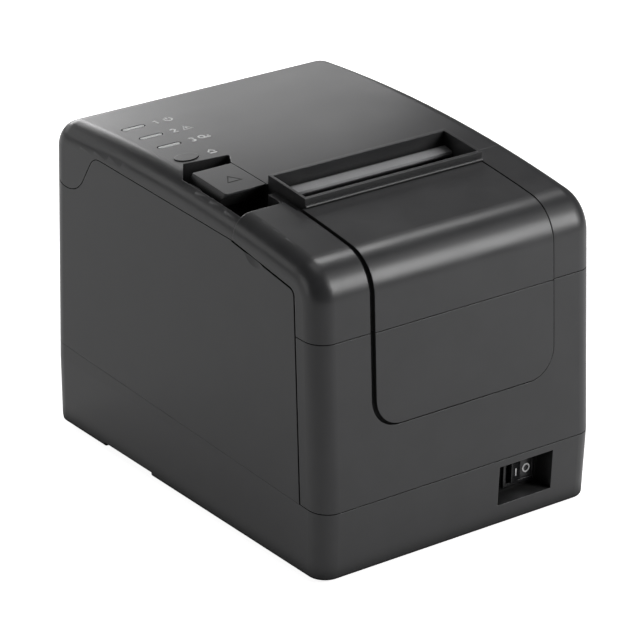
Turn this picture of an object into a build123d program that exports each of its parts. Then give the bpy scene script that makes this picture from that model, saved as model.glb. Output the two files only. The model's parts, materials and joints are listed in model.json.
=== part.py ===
from build123d import *
import math
import os

os.makedirs("parts", exist_ok=True)

# ---------------------------------------------------------------- housing sizes (mm)
body_width = 145.0
body_depth = 195.0
wall = 2.5
seam_gap = 0.4
side_seam_gap = 0.9

crown_height = 145.0        # highest line of the arched top
crown_y = 30.0
crown_radius = 720.0
front_lean = 0.072          # how far the front face leans back per mm of height
front_round = 18.0
rear_round = 12.5
side_round = 9.0

tray_bottom = 1.4
tray_taper = 1.5            # degrees of draft on the tray walls
base_seam_front = 32.0
base_seam_slope = 0.04
front_seam_height = 105.0
side_seam_setback = 14.2    # side seam behind the front face
side_seam_corner = 4.0

lid_front_y = -35.0
lid_side_front_z = 131.5
lid_side_rear_y = 65.0
lid_side_rear_z = 134.7
cover_side_slope = 0.161    # slope of the front cover's side edge
hinge_y = 85.0
hinge_z = 128.4
lobe_radius = 14.0
lobe_blend = 8.0

panel_left = -44.0
panel_right = 49.0
panel_bottom = 63.5
panel_corner = 12.5
panel_raise = 0.7
groove_width = 2.0          # left side; the right and lower sides are fine
groove_width_fine = 0.9
groove_depth = 1.2
tab_half = 5.0
tab_drop = 5.0
tab_thickness = 1.6

# paper slot and its frame
frame_left = -42.6
frame_right = 49.8
frame_front = -43.2
frame_rear = -18.2
frame_wall = 1.4
frame_raise = 4.0
frame_skirt = 131.5         # how far down the frame's walls reach
frame_gap = 0.3
flange_reach = 2.3
flange_bottom = 138.5
bead_radius = 1.0           # rounded bead along the foot of the frame's front wall
bead_rise = 0.4             # bead's axis above the crown
bead_lift = 0.25
strip_width = 4.2           # narrow strip beside the frame's left wall, as low as the groove
strip_bottom = 136.0
strip_rear = -24.0
strip_flare = -31.2
strip_flare_width = 1.2     # how far the flare has widened at its knee
strip_flare_length = 2.4
strip_end_width = 3.4
bar_top = 140.65            # guide bar along the frame's rear wall
bar_reach = 6.4
bar_ridge = 0.3
bar_ridge_y = 1.2
bar_fall = 0.6
bar_nose = 1.2
bar_thickness = 2.4
bar_ease = 0.5
middle_x = (frame_left + frame_right) / 2

# lever pocket in the lid
pocket_left = -68.4
pocket_right = frame_left - frame_gap
pocket_rear = 16.4
pocket_floor = 131.0
pocket_wall = 1.1
pocket_end_x = -38.6        # the pocket runs on behind the lever to this corner
pocket_end_y = 14.3
pocket_end_radius = 1.0
pocket_corner_x = -60.6
pocket_corner_y = 5.4

# print mechanism
platen_y = -24.0
platen_z = 118.0
platen_radius = 7.5
platen_half = 40.5
shaft_radius = 3.0
running_fit = 0.05
gear_module = 0.8
tooth_backlash = 0.16

lug_start = 41.5            # holder plates, measured out from the slot's middle
lug_thickness = 3.0
side_sheet_start = 46.0     # steel side sheets of the mechanism
sheet = 1.5
hook_start = 48.2
hook_thickness = 2.5
gear_start = 51.5
gear_width = 5.0
large_gear_start = 57.2
large_gear_width = 3.0
platen_teeth = 22
small_stage_teeth = 18
large_stage_teeth = 36
pinion_teeth = 14
platen_mesh_angle = 240.0   # direction from the platen to the reduction gear
motor_mesh_angle = 235.0    # direction from the reduction gear to the motor
motor_radius = 16.0
motor_length = 20.0
mechanism_floor = 44.0
cutter_level = 124.0
cutter_base_thickness = 1.2
blade_thickness = 1.0
blade_gap = 0.2
blade_half = 41.0
blade_home_y = -36.8
blade_travel = 8.0
blade_length = 45.0
rack_offset = -20.0         # cutter pinion, measured from the slot's middle
cutter_pinion_teeth = 20
cutter_pinion_y = -58.0
head_face_gap = 0.7
head_pivot_y = -36.5
head_pivot_z = 107.5
head_top = 123.5
pivot_pin_radius = 1.5
spring_wire = 0.35
spring_wall_y = -42.8
head_strip = 1.2
head_plate = 2.5

# latch
latch_y = -5.5
latch_z = 124.0
latch_shaft_radius = 2.0
latch_hub_radius = 4.5
lever_front = -17.5
lever_rear = 6.5
lever_gap = 0.4
lever_chamfer_x = -63.0
lever_left = -64.9
lever_shoulder_z = 140.2
lever_underside = 135.5
lever_lip = 0.9             # thickness of the lever's front edge, undercut behind it
lever_undercut = 6.0
ledge_top = 141.2           # small shelf in the pocket, left of the lever's rear
ledge_rear = 4.6
ledge_front = -17.0
catch_y = 0.0
catch_z = 113.5
catch_radius = 2.0
catch_gap = 0.3

# paper bay
bay_y = 30.0
bay_z = 92.0
bay_radius = 42.0
bay_half = 42.5
bay_wall = 2.0
bay_rim = 112.0
hinge_pin_radius = 2.5
hinge_eye_radius = 5.5

# indicators and feed button
indicator_x = -53.4
indicator_length = 10.8
indicator_width = 2.0
window_gap = 0.55
indicator_first_y = 36.5
indicator_pitch = 13.2
indicator_board_z = 133.0
board_thickness = 1.4
button_x = -55.5
button_y = 21.3
button_half_x = 5.6
button_half_y = 3.6
button_raise = 0.4
button_travel = 0.4
button_fit = 0.15

# power switch
rear_cut_depth = 9.5         # sloping cut under the tray's rear edge
rear_cut_height = 9.0
recess_left = 20.5
recess_right = 49.5
recess_bottom = 10.6
recess_top = 28.6
recess_depth = 10.0
recess_wall = 1.5
switch_x = 38.4
switch_z = 19.8
switch_half_x = 7.4
switch_half_z = 6.2
switch_length = 13.0
rocker_half_x = 6.2
rocker_half_z = 5.1
rocker_swing = 8.0

# feet, boards and fixings
foot_radius = 7.0
foot_inset_x = 14.5
foot_inset_y = 21.5
foot_seat = 1.0
post_radius = 4.0
screw_radius = 1.5
screw_head_radius = 2.8
screw_head_height = 2.0
post_inset = 8.5            # screw posts, measured in from the outer faces
post_front_inset = 37.5
post_rear_inset = 35.5
post_height = 60.0
tray_boss_top = 8.5
ribbon_half = 14.0
ribbon_thickness = 0.3
main_board_z = 14.0
main_board_front = -5.0
main_board_half = 58.5

front_edge = -body_depth / 2
rear_edge = body_depth / 2
side_edge = body_width / 2
form_floor = 18.0
form_ceiling = 175.0
reach = 130.0               # longer than any half size, for cutting right through


def crown_z(y):
    """Height of the arched top above a place along the depth."""
    return crown_height - crown_radius + math.sqrt(crown_radius**2 - (y - crown_y) ** 2)


def front_y(z):
    """Place of the leaning front face at a height."""
    return front_edge + front_lean * (z - base_seam_front)


def base_seam_z(y):
    """Height of the seam between tray and covers, which climbs to the rear."""
    return base_seam_front + base_seam_slope * (y - front_edge)


def cover_side_z(y):
    """Height of the side edge of the upper front cover."""
    return lid_side_front_z + cover_side_slope * (y - lid_front_y)


def envelope(inset):
    """Outer form of the housing above the tray, taken in by inset."""
    lean_inset = inset * math.hypot(1, front_lean)
    with BuildPart() as form:
        with BuildSketch(Plane.YZ) as side:
            with BuildLine():
                Polyline(
                    (front_y(form_floor) + lean_inset, form_floor),
                    (front_y(form_ceiling) + lean_inset, form_ceiling),
                    (rear_edge - inset, form_ceiling),
                    (rear_edge - inset, form_floor),
                    close=True,
                )
            make_face()
            with Locations((crown_y, crown_height - crown_radius)):
                Circle(crown_radius - inset, mode=Mode.INTERSECT)
            fillet(side.vertices().sort_by(Axis.Y)[-2:].sort_by(Axis.X)[0], front_round - inset)
            fillet(side.vertices().sort_by(Axis.X)[-2:].sort_by(Axis.Y)[-1], rear_round - inset)
        extrude(amount=side_edge - inset, both=True)
        ends = form.faces().filter_by(Axis.X).edges()
        rims = [edge for edge in ends if edge.center().Z > form_floor + 1]
        fillet(rims, side_round - inset)
    return form.part


def front_zone(grow):
    """Side region of both front covers, as a prism right through the width."""
    foot_y = front_y(form_floor) + side_seam_setback
    meet_z = (
        lid_side_front_z
        + cover_side_slope * (front_edge - front_lean * base_seam_front + side_seam_setback - lid_front_y)
    ) / (1 - cover_side_slope * front_lean)
    meet_y = front_y(meet_z) + side_seam_setback
    with BuildPart() as zone:
        with BuildSketch(Plane.YZ) as side:
            with BuildLine():
                Polyline(
                    (-reach, form_floor),
                    (foot_y, form_floor),
                    (meet_y, meet_z),
                    (lid_front_y, lid_side_front_z),
                    (lid_front_y, form_ceiling),
                    (-reach, form_ceiling),
                    close=True,
                )
            make_face()
            bend = side.vertices().sort_by_distance((meet_y, meet_z))[0]
            fillet(bend, side_seam_corner)
            if grow:
                offset(amount=grow, kind=Kind.INTERSECTION)
        extrude(amount=reach, both=True)
    return zone.part


def lid_zone(grow):
    """Side region of the lid: the top and a round lobe about the hinge."""
    rise = lid_side_rear_z - hinge_z
    run = hinge_y - lid_side_rear_y
    span = math.hypot(rise, run)
    slant = math.atan2(-rise, run) - math.asin(lobe_radius / span)
    tangent = math.sqrt(span**2 - lobe_radius**2)
    with BuildPart() as zone:
        with BuildSketch(Plane.YZ) as side:
            with BuildLine():
                Polyline(
                    (lid_front_y, lid_side_front_z),
                    (lid_side_rear_y, lid_side_rear_z),
                    (
                        lid_side_rear_y + tangent * math.cos(slant),
                        lid_side_rear_z + tangent * math.sin(slant),
                    ),
                    (hinge_y, hinge_z),
                    (reach, hinge_z),
                    (reach, form_ceiling),
                    (lid_front_y, form_ceiling),
                    close=True,
                )
            make_face()
            bend = side.vertices().sort_by_distance((lid_side_rear_y, lid_side_rear_z))[0]
            fillet(bend, lobe_blend)
            with Locations((hinge_y, hinge_z)):
                Circle(lobe_radius)
            if grow:
                offset(amount=grow, kind=Kind.INTERSECTION)
        extrude(amount=reach, both=True)
    return zone.part


def below_base_seam(lift):
    """Everything under the base seam, with the seam raised by lift."""
    with BuildPart() as zone:
        with BuildSketch(Plane.YZ):
            with BuildLine():
                Polyline(
                    (-reach, -form_ceiling),
                    (reach, -form_ceiling),
                    (reach, base_seam_z(reach) + lift),
                    (-reach, base_seam_z(-reach) + lift),
                    close=True,
                )
            make_face()
        extrude(amount=reach, both=True)
    return zone.part


def panel_prism(grow_left, grow):
    """Outline of the raised front panel, run through the housing front to back."""
    left = panel_left - grow_left
    right = panel_right + grow
    with BuildPart() as prism:
        with BuildSketch(Plane.XZ.offset(-frame_front + frame_gap)) as outline:
            with BuildLine():
                Polyline(
                    (left, panel_bottom - grow),
                    (right, panel_bottom - grow),
                    (right, form_ceiling),
                    (left, form_ceiling),
                    close=True,
                )
            make_face()
            fillet(outline.vertices().group_by(Axis.Y)[0], panel_corner + grow)
        extrude(amount=reach)
    return prism.part


def block(x0, x1, y0, y1, z0, z1, mode=Mode.ADD):
    """A box between two corners, in the part being built."""
    with Locations(((x0 + x1) / 2, (y0 + y1) / 2, (z0 + z1) / 2)):
        Box(x1 - x0, y1 - y0, z1 - z0, mode=mode)


def side_plate(points, x0, x1, mode=Mode.ADD):
    """A plate from an outline in depth and height, between two places across."""
    with BuildSketch(Plane.YZ.offset(x0)) as outline:
        with BuildLine():
            Polyline(*points, close=True)
        make_face()
    extrude(outline.sketch, amount=x1 - x0, mode=mode)


def rod_x(y, z, radius, x0, x1, mode=Mode.ADD):
    """A round bar along X in the part being built."""
    with BuildSketch(Plane.YZ.offset(x0)) as outline:
        with Locations((y, z)):
            Circle(radius)
    extrude(outline.sketch, amount=x1 - x0, mode=mode)


def rod_z(x, y, radius, z0, z1, mode=Mode.ADD):
    """A round bar along Z in the part being built."""
    with BuildSketch(Plane.XY.offset(z0)) as outline:
        with Locations((x, y)):
            Circle(radius)
    extrude(outline.sketch, amount=z1 - z0, mode=mode)


def gear_points(teeth, first_tooth, addendum=0.8, dedendum=1.2):
    """Outline of an involute gear; one tooth is centred on the angle first_tooth."""
    pitch_radius = gear_module * teeth / 2
    base_radius = pitch_radius * math.cos(math.radians(20))
    tip_radius = pitch_radius + addendum * gear_module
    root_radius = pitch_radius - dedendum * gear_module
    half_tooth = (math.pi * gear_module / 2 - tooth_backlash) / 2 / pitch_radius
    roll_at_pitch = math.tan(math.radians(20)) - math.radians(20)
    flank = [(root_radius, half_tooth + roll_at_pitch)]
    start_radius = max(root_radius + 0.05, base_radius)
    for step in range(6):
        radius = start_radius + (tip_radius - start_radius) * step / 5
        pressure = math.acos(min(1.0, base_radius / radius))
        flank.append((radius, half_tooth + roll_at_pitch - math.tan(pressure) + pressure))
    points = []
    for tooth in range(teeth):
        middle = math.radians(first_tooth) + 2 * math.pi * tooth / teeth
        rising = [(radius, middle - turn) for radius, turn in flank]
        falling = [(radius, middle + turn) for radius, turn in reversed(flank)]
        points += [(r * math.cos(a), r * math.sin(a)) for r, a in rising + falling]
    return points


def gear_x(y, z, teeth, first_tooth, x0, x1):
    """A gear turning about X in the part being built."""
    with BuildSketch(Plane.YZ.offset(x0)) as outline:
        with BuildLine():
            Polyline(*[(y + a, z + b) for a, b in gear_points(teeth, first_tooth)], close=True)
        make_face()
    extrude(outline.sketch, amount=x1 - x0)


def about_middle(start, thickness, side):
    """Two X places for a plate set out from the slot's middle to one side."""
    near = middle_x + side * start
    far = middle_x + side * (start + thickness)
    return min(near, far), max(near, far)


outer_form = envelope(0)
inner_form = envelope(wall)
slot_middle = middle_x
sides = (-1, 1)

reduction_y = platen_y + gear_module * (platen_teeth + small_stage_teeth) / 2 * math.cos(
    math.radians(platen_mesh_angle)
)
reduction_z = platen_z + gear_module * (platen_teeth + small_stage_teeth) / 2 * math.sin(
    math.radians(platen_mesh_angle)
)
motor_y = reduction_y + gear_module * (large_stage_teeth + pinion_teeth) / 2 * math.cos(
    math.radians(motor_mesh_angle)
)
motor_z = reduction_z + gear_module * (large_stage_teeth + pinion_teeth) / 2 * math.sin(
    math.radians(motor_mesh_angle)
)
tray_floor = tray_bottom + wall
frame_posts = [(middle_x + side * 38.0, y) for side in sides for y in (-70.0, -20.0)]
board_posts = [(side * 55.0, y) for side in sides for y in (2.0, 84.0)]
case_posts = [
    (side * (side_edge - post_inset), y)
    for side in sides
    for y in (front_edge + post_front_inset, rear_edge - post_rear_inset)
]
foot_places = [
    (sx * (side_edge - foot_inset_x), sy * (rear_edge - foot_inset_y)) for sx in sides for sy in sides
]
# rear sockets: left edge, right edge, height above the board
power_place = (-52.0, -38.0, 12.5)
usb_place = (-28.0, -15.5, 11.5)
network_place = (-5.0, 11.5, 13.5)
drawer_place = (22.0, 35.5, 12.5)
socket_places = [power_place, usb_place, network_place, drawer_place]
board_top = main_board_z + board_thickness
socket_gap = 0.5
inlet_radius = 5.0
inlet_depth = 9.0
ribbon_path = [(-2.0, board_top + 3.0), (-9.0, 46.0), (-20.0, 78.0), (-35.5, 104.0)]


# ---------------------------------------------------------------- tray and feet
def rear_cut(lift):
    """Sloping wedge under the rear edge of the tray, raised by lift."""
    with BuildPart() as wedge:
        with BuildSketch(Plane.YZ):
            with BuildLine():
                Polyline(
                    (rear_edge - rear_cut_depth, lift),
                    (rear_edge + rear_cut_depth, lift + 2 * rear_cut_height),
                    (rear_edge + rear_cut_depth, -1),
                    (rear_edge - rear_cut_depth, -1),
                    close=True,
                )
            make_face()
        extrude(amount=reach, both=True)
    return wedge.part


def tray_hollow():
    """Inside of the tray, kept clear of the sloping cut under its rear edge."""
    with BuildPart() as hollow:
        with BuildSketch(Plane.XY.offset(base_seam_front)) as outline:
            RectangleRounded(body_width - 2 * wall, body_depth - 2 * wall, side_round - wall)
        extrude(outline.sketch, amount=tray_floor - base_seam_front, taper=tray_taper)
        extrude(outline.sketch, amount=20)
        add(rear_cut(wall * 1.4), mode=Mode.SUBTRACT)
    return hollow.part


def make_base_tray():
    """Bottom tray with its floor, switch recess, posts and rear openings."""
    corner = side_round
    with BuildPart() as tray:
        with BuildSketch(Plane.XY.offset(base_seam_front)) as outline:
            RectangleRounded(body_width, body_depth, corner)
        extrude(outline.sketch, amount=tray_bottom - base_seam_front, taper=tray_taper)
        extrude(outline.sketch, amount=15)
        fillet(tray.faces().sort_by(Axis.Z)[0].edges(), 1.5)
        add(tray_hollow(), mode=Mode.SUBTRACT)
        add(rear_cut(0), mode=Mode.SUBTRACT)
        block(
            recess_left - recess_wall,
            recess_right + recess_wall,
            front_edge + wall,
            front_edge + recess_depth + recess_wall,
            recess_bottom - recess_wall,
            recess_top + recess_wall,
        )
        block(
            recess_left,
            recess_right,
            front_edge - 1,
            front_edge + recess_depth,
            recess_bottom,
            recess_top,
            Mode.SUBTRACT,
        )
        block(
            switch_x - switch_half_x - 0.1,
            switch_x + switch_half_x + 0.1,
            front_edge,
            front_edge + recess_depth + 5,
            switch_z - switch_half_z - 0.1,
            switch_z + switch_half_z + 0.1,
            Mode.SUBTRACT,
        )
        for x, y in frame_posts:
            rod_z(x, y, post_radius, tray_floor - 0.5, mechanism_floor)
            rod_z(x, y, screw_radius, mechanism_floor - 12, mechanism_floor, Mode.SUBTRACT)
        for x, y in board_posts:
            rod_z(x, y, post_radius - 1, tray_floor - 0.5, main_board_z)
            rod_z(x, y, screw_radius, main_board_z - 7, main_board_z, Mode.SUBTRACT)
        for x, y in case_posts:
            rod_z(x, y, post_radius + 0.5, tray_floor - 0.5, tray_boss_top)
            rod_z(x, y, screw_head_radius + 0.2, 0, tray_bottom + screw_head_height + 0.2, Mode.SUBTRACT)
            rod_z(x, y, screw_radius + 0.1, 0, tray_boss_top, Mode.SUBTRACT)
        for x, y in foot_places:
            rod_z(x, y, foot_radius, 0, tray_bottom + foot_seat, Mode.SUBTRACT)
        for left, right, height in socket_places:
            block(
                left - socket_gap,
                right + socket_gap,
                rear_edge - 8,
                rear_edge + 1,
                board_top - socket_gap,
                board_top + height + socket_gap,
                Mode.SUBTRACT,
            )
        for side in sides:
            block(side * side_edge - 4, side * side_edge + 4, 22.8, 58.5, 0, tray_bottom + 2.0, Mode.SUBTRACT)
        add(below_base_seam(-seam_gap / 2), mode=Mode.INTERSECT)
    return tray.part


def make_feet():
    """Four rubber feet pressed into the tray floor."""
    with BuildPart() as feet:
        for x, y in foot_places:
            rod_z(x, y, foot_radius, 0, tray_bottom + foot_seat)
        chamfer(feet.faces().sort_by(Axis.Z)[0:4].edges(), 0.8)
    return feet.part


# ---------------------------------------------------------------- covers
def make_main_case():
    """Side and rear shell, with its screw posts and bay ledges."""
    with BuildPart() as case:
        add(outer_form)
        add(inner_form, mode=Mode.SUBTRACT)
        add(front_zone(side_seam_gap), mode=Mode.SUBTRACT)
        add(lid_zone(seam_gap), mode=Mode.SUBTRACT)
        add(below_base_seam(-seam_gap / 4), mode=Mode.SUBTRACT)
        for x, y in case_posts:
            side = math.copysign(1, x)
            rib_foot = base_seam_z(y) + 1
            rod_z(x, y, post_radius, tray_boss_top, post_height)
            inner_x = side * (side_edge - wall / 2)
            block(min(x, inner_x), max(x, inner_x), y - 1.2, y + 1.2, rib_foot, post_height)
            rod_z(x, y, screw_radius, tray_boss_top, tray_boss_top + 12, Mode.SUBTRACT)
        for side in sides:
            outer_x = side * (side_edge - wall / 2)
            inner_x = side * (side_edge - wall - 4)
            block(min(outer_x, inner_x), max(outer_x, inner_x), 42, 58, 104, 108)
            scoop_z = cover_side_z(-50.0) + 4.4
            with Locations((side * (side_edge + 28.8), -50.0, scoop_z)):
                Sphere(30.0, mode=Mode.SUBTRACT)
    return case.part


def raised_panel():
    """The raised front panel: the front form moved forward within its outline."""
    with BuildPart() as panel:
        add(outer_form.moved(Location((0, -panel_raise, 0))))
        add(panel_prism(0, 0), mode=Mode.INTERSECT)
        add(inner_form, mode=Mode.SUBTRACT)
    return panel.part


def panel_groove():
    """The thin channel round the raised panel, run on beside the slot frame."""
    with BuildPart() as groove:
        add(panel_prism(groove_width, groove_width_fine))
        add(panel_prism(0, 0), mode=Mode.SUBTRACT)
        block(
            frame_left - strip_width,
            frame_left - frame_gap,
            frame_front - frame_gap,
            lid_front_y,
            strip_bottom,
            form_ceiling,
        )
        add(envelope(groove_depth), mode=Mode.SUBTRACT)
    return groove.part


def snap_tab(middle, seam, lean_below=None):
    """A tab that hangs from a cover and seats behind the skin below its seam."""
    back = front_y(seam) + wall
    if lean_below is None:
        low_back = front_y(seam - tab_drop) + wall
    else:
        low_back = back + math.tan(math.radians(lean_below)) * tab_drop
    high_back = front_y(seam + tab_drop) + wall
    fit = 0.1
    side_plate(
        [
            (low_back + fit, seam - tab_drop),
            (low_back + fit + tab_thickness, seam - tab_drop),
            (high_back + fit + tab_thickness, seam + tab_drop),
            (high_back - 0.4, seam + tab_drop),
            (front_y(seam + 1) + wall - 0.4, seam + 1),
            (front_y(seam + 1) + wall + fit, seam + 0.9),
        ],
        middle - tab_half,
        middle + tab_half,
    )


def make_lower_front_cover(panel, groove):
    """Front cover between the tray and the front seam, with two snap tabs."""
    with BuildPart() as cover:
        add(outer_form)
        add(inner_form, mode=Mode.SUBTRACT)
        add(groove, mode=Mode.SUBTRACT)
        add(panel)
        add(front_zone(0), mode=Mode.INTERSECT)
        add(below_base_seam(seam_gap / 2), mode=Mode.SUBTRACT)
        top = front_seam_height - seam_gap / 2
        block(-reach, reach, -reach, reach, top, form_ceiling, Mode.SUBTRACT)
        for side in sides:
            snap_tab(side * 57.0, base_seam_front, tray_taper)
    return cover.part


def make_upper_front_cover(panel, groove):
    """Cutter cover over the front top, notched for the paper slot frame."""
    with BuildPart() as cover:
        add(outer_form)
        add(inner_form, mode=Mode.SUBTRACT)
        add(groove, mode=Mode.SUBTRACT)
        add(panel)
        add(front_zone(0), mode=Mode.INTERSECT)
        bottom = front_seam_height + seam_gap / 2
        block(-reach, reach, -reach, reach, 0, bottom, Mode.SUBTRACT)
        for side in sides:
            snap_tab(side * 57.0, front_seam_height)
        block(
            frame_left - frame_gap,
            frame_right + frame_gap,
            frame_front - frame_gap,
            0,
            frame_skirt,
            form_ceiling,
            Mode.SUBTRACT,
        )
    return cover.part


# ---------------------------------------------------------------- lid
def pocket_prism(grow, floor):
    """Plan of the finger pocket round the lever, carried up from a floor."""
    with BuildPart() as prism:
        with BuildSketch(Plane.XY.offset(floor)) as plan:
            with BuildLine():
                Polyline(
                    (pocket_left, lid_front_y - 5),
                    (pocket_right, lid_front_y - 5),
                    (pocket_right, lever_rear + lever_gap),
                    (pocket_end_x, pocket_end_y),
                    (pocket_corner_x, pocket_rear),
                    (pocket_left, pocket_corner_y),
                    close=True,
                )
            make_face()
            fillet(plan.vertices().sort_by(Axis.X)[-1], pocket_end_radius)
            if grow:
                offset(amount=grow, kind=Kind.INTERSECTION)
        extrude(amount=form_ceiling - floor)
    return prism.part


def pocket_body():
    """Solid that the pocket is cut from, held inside the lid's skin."""
    with BuildPart() as body:
        add(pocket_prism(pocket_wall, pocket_floor - recess_wall))
        add(inner_form, mode=Mode.INTERSECT)
        block(-reach, reach, -reach, lid_front_y, 0, form_ceiling, Mode.SUBTRACT)
        block(
            pocket_right,
            reach,
            -reach,
            frame_rear + frame_gap,
            0,
            form_ceiling,
            Mode.SUBTRACT,
        )
    return body.part


def pocket_ledge():
    """Small shelf in the pocket beside the lever, widest at the rear."""
    near = lever_left - lever_gap
    with BuildPart() as ledge:
        with BuildSketch(Plane.XY.offset(pocket_floor - recess_wall / 2)):
            with BuildLine():
                Polyline(
                    (near, ledge_rear),
                    (near, (ledge_rear + ledge_front) / 2 + 4),
                    ((near + pocket_left) / 2 - 0.6, (ledge_rear + ledge_front) / 2 - 2),
                    (pocket_left - 0.5, ledge_front),
                    (pocket_left - 0.5, ledge_rear),
                    close=True,
                )
            make_face()
        extrude(amount=ledge_top - pocket_floor + recess_wall / 2)
    return ledge.part


def lid_fittings():
    """Hinge lugs and board posts under the lid's skin."""
    with BuildPart() as fittings:
        for side in sides:
            x0, x1 = about_middle(bay_half + bay_wall + 0.5, lug_thickness, side)
            rod_x(hinge_y, hinge_z, hinge_eye_radius, x0, x1)
            lug_front = hinge_y - hinge_eye_radius
            lug_rear = hinge_y + hinge_eye_radius
            block(x0, x1, lug_front, lug_rear, hinge_z, form_ceiling)
            rod_x(hinge_y, hinge_z, hinge_pin_radius + running_fit, x0, x1, Mode.SUBTRACT)
        for y in (indicator_first_y - indicator_pitch / 2, indicator_first_y + 2.6 * indicator_pitch):
            rod_z(indicator_x, y, 2.0, indicator_board_z + board_thickness, form_ceiling)
        add(inner_form, mode=Mode.INTERSECT)
    return fittings.part


def indicator_places():
    """Plan places of the three indicator windows."""
    return [(indicator_x, indicator_first_y + row * indicator_pitch) for row in range(3)]


def make_paper_lid():
    """Hinged top cover with its finger pocket and openings."""
    with BuildPart() as lid:
        add(outer_form)
        add(inner_form, mode=Mode.SUBTRACT)
        add(lid_zone(0), mode=Mode.INTERSECT)
        add(pocket_body())
        add(lid_fittings())
        add(pocket_prism(0, pocket_floor), mode=Mode.SUBTRACT)
        add(pocket_ledge())
        block(
            frame_left - frame_gap,
            frame_right + frame_gap,
            -reach,
            frame_rear + frame_gap,
            frame_skirt - 2,
            form_ceiling,
            Mode.SUBTRACT,
        )
        block(-58, -50, latch_y - 5.5, latch_y + 7.5, pocket_floor - 5, pocket_floor + 1, Mode.SUBTRACT)
        with BuildSketch(Plane.XY.offset(indicator_board_z)) as holes:
            with Locations(*indicator_places()):
                SlotOverall(indicator_length + 2 * window_gap, indicator_width + 2 * window_gap)
            with Locations((button_x, button_y)):
                Ellipse(button_half_x + button_fit, button_half_y + button_fit)
        extrude(holes.sketch, amount=form_ceiling - indicator_board_z, mode=Mode.SUBTRACT)
    return lid.part


def frame_strip():
    """Narrow strip beside the frame's left wall, flared where it meets the cover."""
    left = frame_left - strip_width
    with BuildPart() as strip:
        with BuildSketch(Plane.XY.offset(strip_bottom)) as plan:
            with BuildLine():
                Polyline(
                    (frame_left + 0.5, strip_rear),
                    (left, strip_rear),
                    (left, strip_flare),
                    (left - strip_flare_width, strip_flare - strip_flare_length),
                    (left - strip_end_width, lid_front_y + frame_gap),
                    (frame_left + 0.5, lid_front_y + frame_gap),
                    close=True,
                )
            make_face()
        extrude(amount=form_ceiling - strip_bottom)
        add(envelope(groove_depth), mode=Mode.INTERSECT)
    return strip.part


def frame_bead():
    """Rounded bead along the foot of the frame's front wall."""
    with BuildPart() as bead:
        bead_z = crown_z(frame_front) + bead_rise
        rod_x(frame_front, bead_z, bead_radius, frame_left, frame_right)
        add(outer_form.moved(Location((0, 0, bead_lift))), mode=Mode.SUBTRACT)
    return bead.part


def make_slot_frame():
    """Raised frame round the paper slot, flanged under the lid's skin."""
    with BuildPart() as frame:
        block(frame_left, frame_right, frame_front, frame_rear, frame_skirt, form_ceiling)
        add(outer_form.moved(Location((0, 0, frame_raise))), mode=Mode.INTERSECT)
        add(frame_flange())
        add(frame_strip())
        add(frame_bead())
        block(
            frame_left + frame_wall,
            frame_right - frame_wall,
            frame_front + frame_wall,
            frame_rear - frame_wall,
            0,
            form_ceiling,
            Mode.SUBTRACT,
        )
    return frame.part


def frame_flange():
    """Flange of the slot frame, which seats under the lid's skin."""
    with BuildPart() as flange:
        block(
            pocket_right + pocket_wall + 0.2,
            frame_right + flange_reach,
            lid_front_y + 0.5,
            frame_rear + flange_reach,
            flange_bottom,
            form_ceiling,
        )
        add(inner_form, mode=Mode.INTERSECT)
    return flange.part


def make_tear_bar():
    """Rounded guide bar along the slot, carried by the frame's rear wall."""
    rear = frame_rear - frame_wall
    nose = rear - bar_reach
    front_top = bar_top - bar_fall
    with BuildPart() as bar:
        with BuildSketch(Plane.YZ.offset(frame_left + frame_wall)) as profile:
            with BuildLine():
                Polyline(
                    (rear, bar_top),
                    (rear - bar_ridge_y, bar_top + bar_ridge),
                    (nose + bar_nose / 2, front_top),
                    (nose, front_top - bar_nose),
                    (nose + bar_nose, front_top - bar_thickness),
                    (rear, bar_top - bar_thickness),
                    close=True,
                )
            make_face()
            fillet(profile.vertices().sort_by(Axis.X)[0:4], bar_ease)
        extrude(profile.sketch, amount=frame_right - frame_left - 2 * frame_wall)
    return bar.part


# ---------------------------------------------------------------- lid mechanism
def make_platen_holder():
    """Steel holder under the lid that carries the platen and the latch shaft."""
    blade_top = cutter_level + cutter_base_thickness + 2 * (blade_gap + blade_thickness)
    with BuildPart() as holder:
        for side in sides:
            x0, x1 = about_middle(lug_start, lug_thickness, side)
            side_plate(
                [
                    (-30.0, 111.0),
                    (-17.5, 111.0),
                    (-0.5, 119.0),
                    (-0.5, form_ceiling),
                    (-12.5, form_ceiling),
                    (-12.5, blade_top + 2),
                    (-30.0, blade_top + 2),
                ],
                x0,
                x1,
            )
        outer_half = lug_start + lug_thickness
        block(
            middle_x - outer_half,
            middle_x + outer_half,
            -30.0,
            -12.5,
            blade_top,
            blade_top + 2,
        )
        for side in sides:
            x0, x1 = about_middle(lug_start, lug_thickness, side)
            rod_x(platen_y, platen_z, shaft_radius + 2, x0, x1, Mode.SUBTRACT)
            rod_x(latch_y, latch_z, latch_shaft_radius + running_fit, x0, x1, Mode.SUBTRACT)
        add(inner_form, mode=Mode.INTERSECT)
    return holder.part


def make_platen_bushes():
    """Two flanged bushes for the platen shaft."""
    with BuildPart() as bushes:
        for side in sides:
            x0, x1 = about_middle(lug_start, lug_thickness, side)
            rod_x(platen_y, platen_z, shaft_radius + 2, x0, x1)
            f0, f1 = about_middle(lug_start - 0.6, 0.6, side)
            rod_x(platen_y, platen_z, shaft_radius + 3, f0, f1)
            rod_x(platen_y, platen_z, shaft_radius + running_fit, f0 - 5, f1 + 5, Mode.SUBTRACT)
    return bushes.part


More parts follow.
